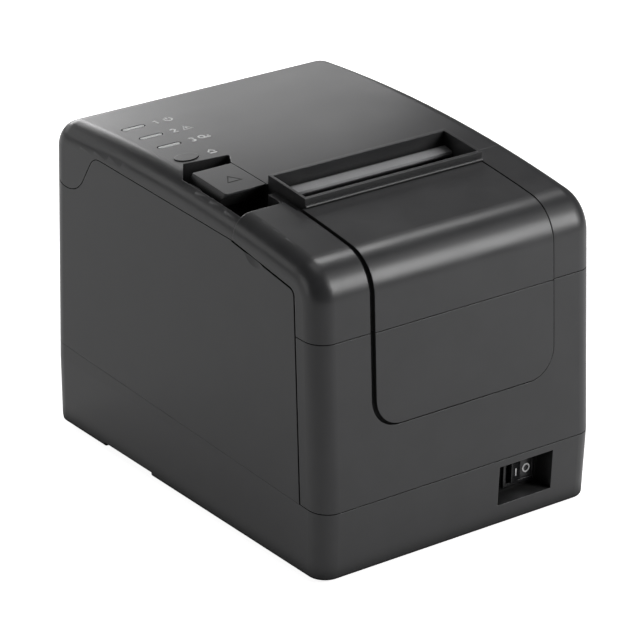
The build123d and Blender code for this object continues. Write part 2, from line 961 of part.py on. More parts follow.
def make_fixed_blade():
    """Blade on the lid that the moving blade cuts against."""
    level = cutter_level + cutter_base_thickness + 2 * blade_gap + blade_thickness
    with BuildPart() as blade:
        block(
            middle_x - blade_half + 0.8,
            middle_x + blade_half - 0.8,
            blade_home_y + blade_travel - 1.4,
            -16.0,
            level,
            level + blade_thickness,
        )
        chamfer(blade.faces().sort_by(Axis.Y)[0].edges().sort_by(Axis.Z)[-1], 0.7)
    return blade.part


def make_platen_roller():
    """Rubber sleeve of the platen."""
    with BuildPart() as roller:
        rod_x(platen_y, platen_z, platen_radius, middle_x - platen_half, middle_x + platen_half)
        rod_x(
            platen_y,
            platen_z,
            shaft_radius,
            middle_x - platen_half,
            middle_x + platen_half,
            Mode.SUBTRACT,
        )
    return roller.part


def make_platen_shaft():
    """Steel shaft of the platen."""
    with BuildPart() as shaft:
        end = gear_start + gear_width + 0.4
        rod_x(platen_y, platen_z, shaft_radius, middle_x - hook_start + 0.2, middle_x + end)
        chamfer(shaft.edges().filter_by(GeomType.CIRCLE), 0.4)
    return shaft.part


def make_platen_gear():
    """Gear on the platen shaft, with a gap turned to the reduction gear."""
    x0, x1 = about_middle(gear_start, gear_width, 1)
    half_pitch = 180.0 / platen_teeth
    with BuildPart() as gear:
        gear_x(platen_y, platen_z, platen_teeth, platen_mesh_angle + half_pitch, x0, x1)
        rod_x(platen_y, platen_z, shaft_radius, x0, x1, Mode.SUBTRACT)
    return gear.part


# ---------------------------------------------------------------- latch
def make_open_lever():
    """Cover-open lever: a tab flush with the lid on a stem round the latch shaft."""
    slope = (crown_z(0) - lever_shoulder_z) / (lever_chamfer_x - lever_left)
    right = pocket_right - lever_gap
    rise = form_ceiling - lever_shoulder_z
    with BuildPart() as lever:
        with BuildSketch(Plane.XZ.offset(-lever_rear)) as profile:
            with BuildLine():
                Polyline(
                    (lever_left, lever_underside + 2.5),
                    (lever_left, lever_shoulder_z),
                    (lever_left + rise / slope, form_ceiling),
                    (lever_left + rise / slope + 30, form_ceiling),
                    (right, lever_shoulder_z + 8),
                    (right, lever_underside + 2.5),
                    close=True,
                )
            make_face()
        extrude(profile.sketch, amount=lever_rear - lever_front)
        block(right, reach, -reach, reach, 0, form_ceiling, Mode.SUBTRACT)
        add(outer_form, mode=Mode.INTERSECT)
        block(
            lever_left + 0.6,
            right - 0.4,
            lever_front + 0.6,
            lever_rear - 0.6,
            lever_underside,
            lever_underside + 3,
        )
        block(-57, -51, latch_y - 4, latch_y + 4, latch_z, lever_underside + 1)
        rod_x(latch_y, latch_z, latch_hub_radius, -57, -51)
        rod_x(latch_y, latch_z, latch_shaft_radius, -57, -51, Mode.SUBTRACT)
        corner = [
            edge
            for edge in lever.edges().filter_by(GeomType.LINE)
            if abs(edge.center().Y - lever_front) < 0.1 and edge.center().X < lever_chamfer_x
        ]
        fillet(corner, 1.2)
        lip_z = crown_z(lever_front) - lever_lip
        side_plate(
            [
                (lever_front - 1, lip_z),
                (lever_front, lip_z),
                (lever_front + lever_undercut, lever_underside - 1),
                (lever_front - 1, lever_underside - 1),
            ],
            lever_left - 1,
            right + 1,
            Mode.SUBTRACT,
        )
    return lever.part


def make_latch_shaft():
    """Shaft that ties the lever to both hooks."""
    with BuildPart() as shaft:
        end = middle_x + hook_start + hook_thickness + 0.5
        rod_x(latch_y, latch_z, latch_shaft_radius, -57.6, end)
    return shaft.part


def make_latch_hooks():
    """Two hooks that hold the catches on the mechanism frame."""
    nose_top = catch_z - catch_radius - catch_gap
    with BuildPart() as hooks:
        for side in sides:
            x0, x1 = about_middle(hook_start, hook_thickness, side)
            side_plate(
                [
                    (latch_y - 2.5, latch_z),
                    (latch_y - 2.5, nose_top - 3),
                    (catch_y + 0.6, nose_top - 3),
                    (catch_y + 0.6, nose_top),
                    (catch_y - catch_radius - 1, nose_top),
                    (catch_y - catch_radius - 1, latch_z),
                ],
                x0,
                x1,
            )
            rod_x(latch_y, latch_z, latch_hub_radius, x0, x1)
            rod_x(latch_y, latch_z, latch_shaft_radius, x0, x1, Mode.SUBTRACT)
    return hooks.part


def coil_x(y, z, coil_radius, wire_radius, pitch, x0, length):
    """A coil spring along X in the part being built."""
    with BuildLine() as path:
        Helix(pitch, length, coil_radius, center=(x0, y, z), direction=(1, 0, 0))
    with BuildSketch(Plane(origin=path.line @ 0, z_dir=path.line % 0)) as wire:
        Circle(wire_radius)
    sweep(wire.sketch, path=path.line)


def make_latch_spring():
    """Return spring of the latch, coiled round its shaft."""
    with BuildPart() as spring:
        coil_radius = latch_shaft_radius + 0.9
        coil_x(latch_y, latch_z, coil_radius, spring_wire, 1.8, middle_x - lug_start + 0.6, 7.2)
    return spring.part


# ---------------------------------------------------------------- indicators and button
def make_indicator_board():
    """Small board under the lid with three lamps."""
    with BuildPart() as board:
        block(-61.5, -45.0, 18.6, 76.0, indicator_board_z, indicator_board_z + board_thickness)
        for x, y in indicator_places():
            top = indicator_board_z + board_thickness
            block(x - 1.6, x + 1.6, y - 0.8, y + 0.8, top, top + 1.3)
    return board.part


def make_indicator_windows():
    """Three light pipes flush with the lid."""
    with BuildPart() as windows:
        with BuildSketch(Plane.XY.offset(indicator_board_z + board_thickness + 1.6)) as plan:
            with Locations(*indicator_places()):
                SlotOverall(indicator_length, indicator_width)
        extrude(plan.sketch, amount=20)
        add(outer_form, mode=Mode.INTERSECT)
    return windows.part


def make_feed_switch():
    """Push switch under the feed button."""
    top = indicator_board_z + board_thickness
    with BuildPart() as switch:
        block(button_x - 3, button_x + 3, button_y - 2.6, button_y + 3.4, top, top + 3)
        rod_z(button_x, button_y + 0.4, 1.6, top + 3, top + 4)
    return switch.part


def make_feed_button():
    """Feed button, a little proud of the lid."""
    under = crown_z(button_y) - wall - 0.35
    top = indicator_board_z + board_thickness
    with BuildPart() as button:
        with BuildSketch(Plane.XY.offset(under - 1)) as plan:
            with Locations((button_x, button_y)):
                Ellipse(button_half_x, button_half_y)
        extrude(plan.sketch, amount=20)
        add(outer_form.moved(Location((0, 0, button_raise))), mode=Mode.INTERSECT)
        block(button_x - 7, button_x + 7, button_y - 2, button_y + 2, under - 1, under)
        rod_z(button_x, button_y + 0.4, 1.6, top + 4 + button_travel + 0.1, under)
    return button.part


# ---------------------------------------------------------------- paper bay and hinge
def make_paper_bay():
    """Tub for the paper roll, with arms that carry the lid's hinge."""
    outer_radius = bay_radius + bay_wall
    shell_half = bay_half + bay_wall
    with BuildPart() as bay:
        rod_x(bay_y, bay_z, outer_radius, middle_x - shell_half, middle_x + shell_half)
        block(
            middle_x - shell_half,
            middle_x + shell_half,
            bay_y - outer_radius,
            bay_y + outer_radius,
            bay_z,
            bay_rim,
        )
        block(-reach, reach, -reach, reach, bay_rim, form_ceiling, Mode.SUBTRACT)
        rod_x(bay_y, bay_z, bay_radius, middle_x - bay_half, middle_x + bay_half, Mode.SUBTRACT)
        block(
            middle_x - bay_half,
            middle_x + bay_half,
            bay_y - bay_radius,
            bay_y + bay_radius,
            bay_z,
            bay_rim,
            Mode.SUBTRACT,
        )
        for side in sides:
            x0, x1 = about_middle(bay_half, bay_wall, side)
            side_plate(
                [
                    (46.0, bay_rim),
                    (57.0, bay_rim),
                    (hinge_y - 2.4, hinge_z - hinge_eye_radius + 0.6),
                    (hinge_y - 2.4, hinge_z + hinge_eye_radius - 0.6),
                ],
                x0,
                x1,
            )
            rod_x(hinge_y, hinge_z, hinge_eye_radius, x0, x1)
            rod_x(hinge_y, hinge_z, hinge_pin_radius, x0, x1, Mode.SUBTRACT)
            ear = side * (side_edge - wall - 0.1)
            inner = middle_x + side * (shell_half - 0.5)
            block(min(ear, inner), max(ear, inner), 44, 56, 108, 110.5)
            sheet_face = middle_x + side * side_sheet_start
            block(min(sheet_face, inner), max(sheet_face, inner), -6, 2, 101, 108)
    return bay.part


def make_hinge_pins():
    """Two steel pins fixed in the bay's arms."""
    with BuildPart() as pins:
        for side in sides:
            x0, x1 = about_middle(bay_half - 0.6, bay_wall + lug_thickness + 1.4, side)
            rod_x(hinge_y, hinge_z, hinge_pin_radius, x0, x1)
    return pins.part


# ---------------------------------------------------------------- mechanism
def make_mechanism_frame():
    """Folded steel frame that carries the head, cutter, motor and catches."""
    half = side_sheet_start + sheet
    notch = shaft_radius + 0.4
    with BuildPart() as frame:
        block(
            middle_x - half, middle_x + half, -80, -12, mechanism_floor, mechanism_floor + sheet
        )
        for side in sides:
            x0, x1 = about_middle(side_sheet_start, sheet, side)
            side_plate(
                [
                    (-80, mechanism_floor),
                    (-12, mechanism_floor),
                    (-12, 100),
                    (catch_y + 4, 106),
                    (catch_y + 4, 118),
                    (-14, 118),
                    (-16, 121),
                    (-37.5, 121),
                    (-37.5, cutter_level),
                    (-80, cutter_level),
                ],
                x0,
                x1,
            )
            rod_x(platen_y, platen_z, notch, x0, x1, Mode.SUBTRACT)
            block(x0, x1, platen_y - notch, platen_y + notch, platen_z, 130, Mode.SUBTRACT)
            bore = pivot_pin_radius + running_fit
            rod_x(head_pivot_y, head_pivot_z, bore, x0, x1, Mode.SUBTRACT)
        wall_front = spring_wall_y - 1.2
        block(middle_x - half, middle_x + half, wall_front, spring_wall_y, 109, head_top)
        x0, x1 = about_middle(side_sheet_start, sheet, 1)
        rod_x(motor_y, motor_z, 4.0, x0, x1, Mode.SUBTRACT)
        rod_x(reduction_y, reduction_z, 2.0, x0, x1, Mode.SUBTRACT)
        for x, y in frame_posts:
            rod_z(x, y, screw_radius, mechanism_floor - 1, mechanism_floor + 5, Mode.SUBTRACT)
    return frame.part


def make_latch_catches():
    """Two pins on the frame's sides that the hooks hold."""
    with BuildPart() as catches:
        for side in sides:
            x0, x1 = about_middle(side_sheet_start + sheet, 4.0, side)
            rod_x(catch_y, catch_z, catch_radius, x0, x1)
    return catches.part


def head_face_y():
    """Depth of the print head's working face."""
    return platen_y - platen_radius - head_face_gap


def head_back_y():
    """Depth of the back of the head's carrier."""
    return head_face_y() - head_strip - head_plate


def make_print_head():
    """Ceramic strip of the thermal head, facing the platen."""
    face = head_face_y()
    with BuildPart() as head:
        block(middle_x - platen_half, middle_x + platen_half, face - head_strip, face, 110, head_top)
    return head.part


def make_head_heatsink():
    """Aluminium carrier of the head, on its pivot pin."""
    back = head_back_y()
    with BuildPart() as sink:
        block(middle_x - 41, middle_x + 41, back, back + head_plate, head_pivot_z, head_top)
        rod_x(head_pivot_y, head_pivot_z, 2.3, middle_x - 41, middle_x + 41)
        rod_x(head_pivot_y, head_pivot_z, pivot_pin_radius, middle_x - 41, middle_x + 41, Mode.SUBTRACT)
    return sink.part


def make_head_pivot():
    """Pivot pin of the print head."""
    reach_out = side_sheet_start + sheet + 0.2
    with BuildPart() as pin:
        rod_x(
            head_pivot_y,
            head_pivot_z,
            pivot_pin_radius,
            middle_x - reach_out,
            middle_x + reach_out,
        )
    return pin.part


def make_head_springs():
    """Three coil springs that press the head to the platen."""
    start = spring_wall_y + spring_wire
    length = head_back_y() - spring_wire - 0.3 - start
    with BuildPart() as springs:
        for offset_x in (-25.0, 0.0, 25.0):
            with BuildLine() as path:
                centre = (middle_x + offset_x, start, 117.0)
                Helix(1.4, length, 2.4, center=centre, direction=(0, 1, 0))
            with BuildSketch(Plane(origin=path.line @ 0, z_dir=path.line % 0)) as wire:
                Circle(spring_wire)
            sweep(wire.sketch, path=path.line)
    return springs.part


def make_feed_motor():
    """Stepper motor that turns the platen."""
    start = side_sheet_start - motor_length
    with BuildPart() as motor:
        rod_x(motor_y, motor_z, motor_radius, middle_x + start, middle_x + side_sheet_start)
        block(
            middle_x + side_sheet_start - 1,
            middle_x + side_sheet_start,
            motor_y - motor_radius - 4,
            motor_y + motor_radius + 4,
            motor_z - 5,
            motor_z + 5,
        )
        bore = pivot_pin_radius + running_fit
        rod_x(motor_y, motor_z, bore, middle_x, middle_x + reach, Mode.SUBTRACT)
    return motor.part


def make_motor_pinion():
    """Motor shaft with its pinion, a gap turned to the large gear."""
    x0, x1 = about_middle(large_gear_start, large_gear_width, 1)
    half_pitch = 180.0 / pinion_teeth
    with BuildPart() as pinion:
        gear_x(motor_y, motor_z, pinion_teeth, motor_mesh_angle - 180 + half_pitch, x0, x1)
        rod_x(motor_y, motor_z, pivot_pin_radius, middle_x + side_sheet_start - 14, x1)
    return pinion.part


def make_reduction_gear():
    """Two-stage gear between the motor pinion and the platen gear."""
    s0, s1 = about_middle(gear_start, gear_width + 0.7, 1)
    l0, l1 = about_middle(large_gear_start, large_gear_width, 1)
    with BuildPart() as gear:
        gear_x(reduction_y, reduction_z, small_stage_teeth, platen_mesh_angle - 180, s0, s1)
        gear_x(reduction_y, reduction_z, large_stage_teeth, motor_mesh_angle, l0, l1)
        rod_x(reduction_y, reduction_z, 2.0 + running_fit, s0, l1, Mode.SUBTRACT)
    return gear.part


def make_gear_stud():
    """Stud on the frame that carries the reduction gear."""
    start = side_sheet_start
    with BuildPart() as stud:
        end = large_gear_start + large_gear_width
        rod_x(reduction_y, reduction_z, 2.0, middle_x + start, middle_x + end + 1.4)
        rod_x(reduction_y, reduction_z, 3.5, middle_x + start + sheet, middle_x + gear_start - 0.3)
        rod_x(reduction_y, reduction_z, 3.2, middle_x + end + 0.3, middle_x + end + 1.4)
    return stud.part


def rack_x():
    """Place across of the rack's pitch line."""
    return middle_x + rack_offset + gear_module * cutter_pinion_teeth / 2


def make_cutter_base():
    """Plate that the moving blade slides on, with its side guides."""
    top = cutter_level + cutter_base_thickness
    half = side_sheet_start + sheet
    with BuildPart() as base:
        block(middle_x - half, middle_x + half, -80, -37.5, cutter_level, top)
        for side in sides:
            x0, x1 = about_middle(blade_half + 0.3, 2.5, side)
            block(x0, x1, -80, -37.5, top, top + blade_thickness + 2 * blade_gap)
        pinion_x = middle_x + rack_offset
        rod_z(pinion_x, cutter_pinion_y, 3.0, cutter_level - 1, top + 1, Mode.SUBTRACT)
    return base.part


def make_moving_blade():
    """Sliding blade with a rack along its window."""
    level = cutter_level + cutter_base_thickness + blade_gap
    pitch = math.pi * gear_module
    pinion_x = middle_x + rack_offset
    clear = gear_module * cutter_pinion_teeth / 2 + 2.0
    with BuildPart() as blade:
        block(
            middle_x - blade_half,
            middle_x + blade_half,
            blade_home_y - blade_length,
            blade_home_y,
            level,
            level + blade_thickness,
        )
        line = rack_x()
        window_front = cutter_pinion_y - clear - blade_travel
        window_rear = cutter_pinion_y + clear
        block(
            pinion_x - clear,
            line + 1.2 * gear_module,
            window_front,
            window_rear,
            level - 1,
            level + 3,
            Mode.SUBTRACT,
        )
        count = int((window_rear - window_front) / pitch)
        flank = math.tan(math.radians(20))
        half_tooth = (pitch / 2 - tooth_backlash) / 2
        tip = 0.8 * gear_module
        root = 1.2 * gear_module + 0.3
        with BuildSketch(Plane.XY.offset(level)) as teeth:
            for index in range(-count, count + 1):
                centre = cutter_pinion_y + (index + 0.5) * pitch
                if window_front + pitch / 2 < centre < window_rear - pitch / 2:
                    with BuildLine():
                        Polyline(
                            (line + root, centre - half_tooth - flank * root),
                            (line - tip, centre - half_tooth + flank * tip),
                            (line - tip, centre + half_tooth - flank * tip),
                            (line + root, centre + half_tooth + flank * root),
                            close=True,
                        )
                    make_face()
        extrude(teeth.sketch, amount=blade_thickness)
        chamfer(blade.faces().sort_by(Axis.Y)[-1].edges().sort_by(Axis.Z)[0], 0.5)
    return blade.part


def make_cutter_pinion():
    """Pinion that drives the moving blade, with its output shaft."""
    x = middle_x + rack_offset
    low = cutter_level + cutter_base_thickness + 0.1
    points = gear_points(cutter_pinion_teeth, 0.0)
    with BuildPart() as pinion:
        with BuildSketch(Plane.XY.offset(low)) as outline:
            with BuildLine():
                Polyline(*[(x + a, cutter_pinion_y + b) for a, b in points], close=True)
            make_face()
        extrude(outline.sketch, amount=blade_thickness + 2 * blade_gap + 0.4)
        rod_z(x, cutter_pinion_y, 2.0, cutter_level - 8, low)
    return pinion.part


def make_cutter_motor():
    """Geared motor under the cutter plate."""
    x = middle_x + rack_offset
    with BuildPart() as motor:
        block(x - 9, x + 9, cutter_pinion_y - 16, cutter_pinion_y + 12, cutter_level - 22, cutter_level)
        fillet(motor.edges().filter_by(Axis.Z), 2)
        rod_z(x, cutter_pinion_y, 2.0 + running_fit, cutter_level - 9, cutter_level, Mode.SUBTRACT)
    return motor.part


def make_paper_sensor():
    """Optical paper sensor on the bay's front rim."""
    front = bay_y - bay_radius - bay_wall
    with BuildPart() as sensor:
        block(middle_x - 5, middle_x + 5, front - 4, front, bay_rim - 8, bay_rim)
    return sensor.part


# ---------------------------------------------------------------- boards and sockets
def make_main_board():
    """Control board in the tray."""
    with BuildPart() as board:
        block(
            -main_board_half,
            main_board_half,
            main_board_front,
            rear_edge - wall - 2.5,
            main_board_z,
            board_top,
        )
        for x, y in board_posts:
            rod_z(x, y, screw_radius, main_board_z - 1, board_top + 1, Mode.SUBTRACT)
    return board.part


def make_board_chips():
    """Processor, memory, driver and two capacitors on the board."""
    with BuildPart() as chips:
        block(-8, 8, 22, 38, board_top, board_top + 1.8)
        block(16, 28, 24, 32, board_top, board_top + 1.4)
        block(-32, -20, 20, 30, board_top, board_top + 2.2)
        for x in (-44.0, -30.0):
            rod_z(x, 52, 5.0, board_top, board_top + 16)
    return chips.part


def make_ribbon_socket():
    """Socket on the board for the head's ribbon."""
    with BuildPart() as socket:
        block(
            -ribbon_half - 2,
            ribbon_half + 2,
            ribbon_path[0][0] - 2,
            ribbon_path[0][0] + 2,
            board_top,
            board_top + 3,
        )
    return socket.part


def make_head_ribbon():
    """Flat cable from the board up to the print head."""
    with BuildPart() as ribbon:
        with BuildLine(Plane.YZ) as path:
            Spline(*ribbon_path, tangents=((0, 1), (-0.6, 0.8)))
        with BuildSketch(Plane.XY.offset(ribbon_path[0][1])) as section:
            with Locations((0, ribbon_path[0][0])):
                Rectangle(2 * ribbon_half, ribbon_thickness)
        sweep(section.sketch, path=path.line)
    return ribbon.part


def make_socket(place, mouth, depth):
    """A rear socket standing on the board, open to the rear."""
    left, right, height = place
    front = rear_edge - wall - 14
    rear = rear_edge - 1.5
    mouth_x, mouth_z = mouth
    middle = (left + right) / 2
    centre_z = board_top + height / 2
    with BuildPart() as socket:
        block(left, right, front, rear, board_top, board_top + height)
        block(
            middle - mouth_x / 2,
            middle + mouth_x / 2,
            rear - depth,
            rear,
            centre_z - mouth_z / 2,
            centre_z + mouth_z / 2,
            Mode.SUBTRACT,
        )
    return socket.part


def make_power_inlet():
    """Round power inlet with three contact pins."""
    left, right, height = power_place
    front = rear_edge - wall - 14
    rear = rear_edge - 1.5
    middle = (left + right) / 2
    centre_z = board_top + height / 2
    with BuildPart() as inlet:
        block(left, right, front, rear, board_top, board_top + height)
        with BuildSketch(Plane.XZ.offset(-rear)) as mouth:
            with Locations((middle, centre_z)):
                Circle(inlet_radius)
        extrude(mouth.sketch, amount=inlet_depth, mode=Mode.SUBTRACT)
        with BuildSketch(Plane.XZ.offset(inlet_depth - rear)) as pins:
            with Locations((middle, centre_z)):
                with PolarLocations(inlet_radius / 2, 3, 90):
                    Circle(0.6)
        extrude(pins.sketch, amount=-4.0)
    return inlet.part


# ---------------------------------------------------------------- power switch
def make_switch_body():
    """Body and bezel of the power switch, seated on the recess's back."""
    plate_y = front_edge + recess_depth
    with BuildPart() as switch:
        block(
            switch_x - switch_half_x,
            switch_x + switch_half_x,
            plate_y,
            plate_y + switch_length,
            switch_z - switch_half_z,
            switch_z + switch_half_z,
        )
        block(
            switch_x - switch_half_x - 1.0,
            switch_x + switch_half_x + 1.0,
            plate_y - 1.4,
            plate_y,
            switch_z - switch_half_z - 0.9,
            switch_z + switch_half_z + 0.9,
        )
        block(
            switch_x - rocker_half_x - 0.6,
            switch_x + rocker_half_x + 0.6,
            plate_y - 1.4,
            plate_y + 5.5,
            switch_z - rocker_half_z - 0.2,
            switch_z + rocker_half_z + 0.2,
            Mode.SUBTRACT,
        )
        half = rocker_half_z + 0.6
        pin_y = plate_y + 1.9
        rod_z(switch_x, pin_y, 0.85, switch_z - half, switch_z + half, Mode.SUBTRACT)
    return switch.part


def make_power_rocker():
    """Rocker of the power switch, at rest with its right half pressed in."""
    pin_y = front_edge + recess_depth + 1.9
    turn = math.radians(rocker_swing)
    outline = [
        (-rocker_half_x, -4.4),
        (0.0, -3.6),
        (rocker_half_x, -4.4),
        (rocker_half_x - 0.8, 0.6),
        (1.2, 2.2),
        (-1.2, 2.2),
        (-rocker_half_x + 0.8, 0.6),
    ]
    turned = [
        (
            switch_x + x * math.cos(turn) - y * math.sin(turn),
            pin_y + x * math.sin(turn) + y * math.cos(turn),
        )
        for x, y in outline
    ]
    with BuildPart() as rocker:
        with BuildSketch(Plane.XY.offset(switch_z - rocker_half_z)) as profile:
            with BuildLine():
                Polyline(*turned, close=True)
            make_face()
        extrude(profile.sketch, amount=2 * rocker_half_z)
        half = rocker_half_z + 0.5
        rod_z(switch_x, pin_y, 0.8, switch_z - half, switch_z + half)
    return rocker.part


# ---------------------------------------------------------------- screws
def make_screws(places, head_low, head_high, tip):
    """Identical screws; the head lies between head_low and head_high."""
    with BuildPart() as screws:
        for x, y in places:
            rod_z(x, y, screw_head_radius, head_low, head_high)
            rod_z(x, y, screw_radius, min(tip, head_low), max(tip, head_low))
    return screws.part


panel = raised_panel()
groove = panel_groove()
pieces = {
    "base_tray": make_base_tray(),
    "rubber_feet": make_feet(),
    "main_case": make_main_case(),
    "lower_front_cover": make_lower_front_cover(panel, groove),
    "upper_front_cover": make_upper_front_cover(panel, groove),
    "paper_lid": make_paper_lid(),
    "slot_frame": make_slot_frame(),
    "tear_bar": make_tear_bar(),
    "platen_holder": make_platen_holder(),
    "platen_bushes": make_platen_bushes(),
    "fixed_blade": make_fixed_blade(),
    "platen_roller": make_platen_roller(),
    "platen_shaft": make_platen_shaft(),
    "platen_gear": make_platen_gear(),
    "open_lever": make_open_lever(),
    "latch_shaft": make_latch_shaft(),
    "latch_hooks": make_latch_hooks(),
    "latch_spring": make_latch_spring(),
    "indicator_board": make_indicator_board(),
    "indicator_windows": make_indicator_windows(),
    "feed_switch": make_feed_switch(),
    "feed_button": make_feed_button(),
    "paper_bay": make_paper_bay(),
    "hinge_pins": make_hinge_pins(),
    "mechanism_frame": make_mechanism_frame(),
    "latch_catches": make_latch_catches(),
    "print_head": make_print_head(),
    "head_heatsink": make_head_heatsink(),
    "head_pivot": make_head_pivot(),
    "head_springs": make_head_springs(),
    "feed_motor": make_feed_motor(),
    "motor_pinion": make_motor_pinion(),
    "reduction_gear": make_reduction_gear(),
    "gear_stud": make_gear_stud(),
    "cutter_base": make_cutter_base(),
    "moving_blade": make_moving_blade(),
    "cutter_pinion": make_cutter_pinion(),
    "cutter_motor": make_cutter_motor(),
    "paper_sensor": make_paper_sensor(),
    "main_board": make_main_board(),
    "board_chips": make_board_chips(),
    "ribbon_socket": make_ribbon_socket(),
    "head_ribbon": make_head_ribbon(),
    "power_inlet": make_power_inlet(),
    "usb_socket": make_socket(usb_place, (8.5, 7.5), 9.0),
    "network_socket": make_socket(network_place, (12.0, 8.5), 11.0),
    "drawer_socket": make_socket(drawer_place, (10.0, 7.5), 10.0),
    "switch_body": make_switch_body(),
    "power_rocker": make_power_rocker(),
    "case_screws": make_screws(
        case_posts, tray_bottom + 0.2, tray_bottom + 0.2 + screw_head_height, tray_boss_top + 11
    ),
    "frame_screws": make_screws(
        frame_posts, mechanism_floor + sheet, mechanism_floor + sheet + screw_head_height, 33.5
    ),
    "board_screws": make_screws(board_posts, board_top, board_top + screw_head_height, 8.0),
}

for name, part in pieces.items():
    part.label = name
    export_step(part, f"parts/{name}.step")
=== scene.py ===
"""Looks of a desktop receipt printer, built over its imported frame.

Each sub-assembly is a class that holds its sizes and makes its own pieces. Each
finish is a frozen dataclass that makes one procedural material. Lengths are metres.
"""

import json
import logging
from dataclasses import dataclass
from enum import Enum
from typing import Callable

import bpy
import numpy as np
from mathutils import Matrix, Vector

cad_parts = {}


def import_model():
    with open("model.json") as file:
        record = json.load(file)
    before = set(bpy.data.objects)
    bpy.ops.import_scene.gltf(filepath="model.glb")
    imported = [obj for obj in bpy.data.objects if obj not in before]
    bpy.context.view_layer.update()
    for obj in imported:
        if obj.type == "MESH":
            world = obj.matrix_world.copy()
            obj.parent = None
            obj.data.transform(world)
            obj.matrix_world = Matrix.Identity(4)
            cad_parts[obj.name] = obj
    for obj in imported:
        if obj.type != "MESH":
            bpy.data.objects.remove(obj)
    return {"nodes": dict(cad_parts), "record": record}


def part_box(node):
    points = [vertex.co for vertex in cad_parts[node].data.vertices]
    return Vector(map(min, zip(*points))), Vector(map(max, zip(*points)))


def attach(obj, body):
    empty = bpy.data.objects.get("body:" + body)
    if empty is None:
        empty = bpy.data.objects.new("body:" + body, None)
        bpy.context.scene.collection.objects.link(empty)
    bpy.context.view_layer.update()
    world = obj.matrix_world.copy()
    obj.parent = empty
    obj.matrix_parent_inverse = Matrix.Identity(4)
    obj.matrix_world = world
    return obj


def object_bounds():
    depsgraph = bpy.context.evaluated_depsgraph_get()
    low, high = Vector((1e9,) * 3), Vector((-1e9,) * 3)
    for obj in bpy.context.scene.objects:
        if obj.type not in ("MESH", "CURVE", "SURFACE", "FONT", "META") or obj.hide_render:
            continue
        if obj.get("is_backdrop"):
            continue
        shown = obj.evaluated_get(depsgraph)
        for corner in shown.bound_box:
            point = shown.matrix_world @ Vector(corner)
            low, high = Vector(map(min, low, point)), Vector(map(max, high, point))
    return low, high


LOG = logging.getLogger("receipt_printer")
Colour = tuple[float, float, float]
Placer = Callable[[np.ndarray, np.ndarray, np.ndarray], np.ndarray]


class Body(Enum):
    """Moving bodies that the added pieces ride on."""

    PRINTER = "printer_body"
    LID = "paper_lid"
    LATCH = "open_latch"
    HEAD = "print_head"
    ROCKER = "power_rocker"


class Slot(Enum):
    """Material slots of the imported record."""

    CASE = "case_plastic"
    GREY = "grey_plastic"
    RUBBER = "rubber"
    STEEL = "steel"
    SHEET = "sheet_steel"
    GEAR = "gear_plastic"
    ALUMINIUM = "aluminium"
    CERAMIC = "ceramic"
    BOARD = "circuit_board"
    BLACK = "black_plastic"
    MOTOR = "motor_can"
    WINDOW = "window"
    SWITCH = "switch_plastic"
    RIBBON = "ribbon"
    SOCKET = "socket_metal"


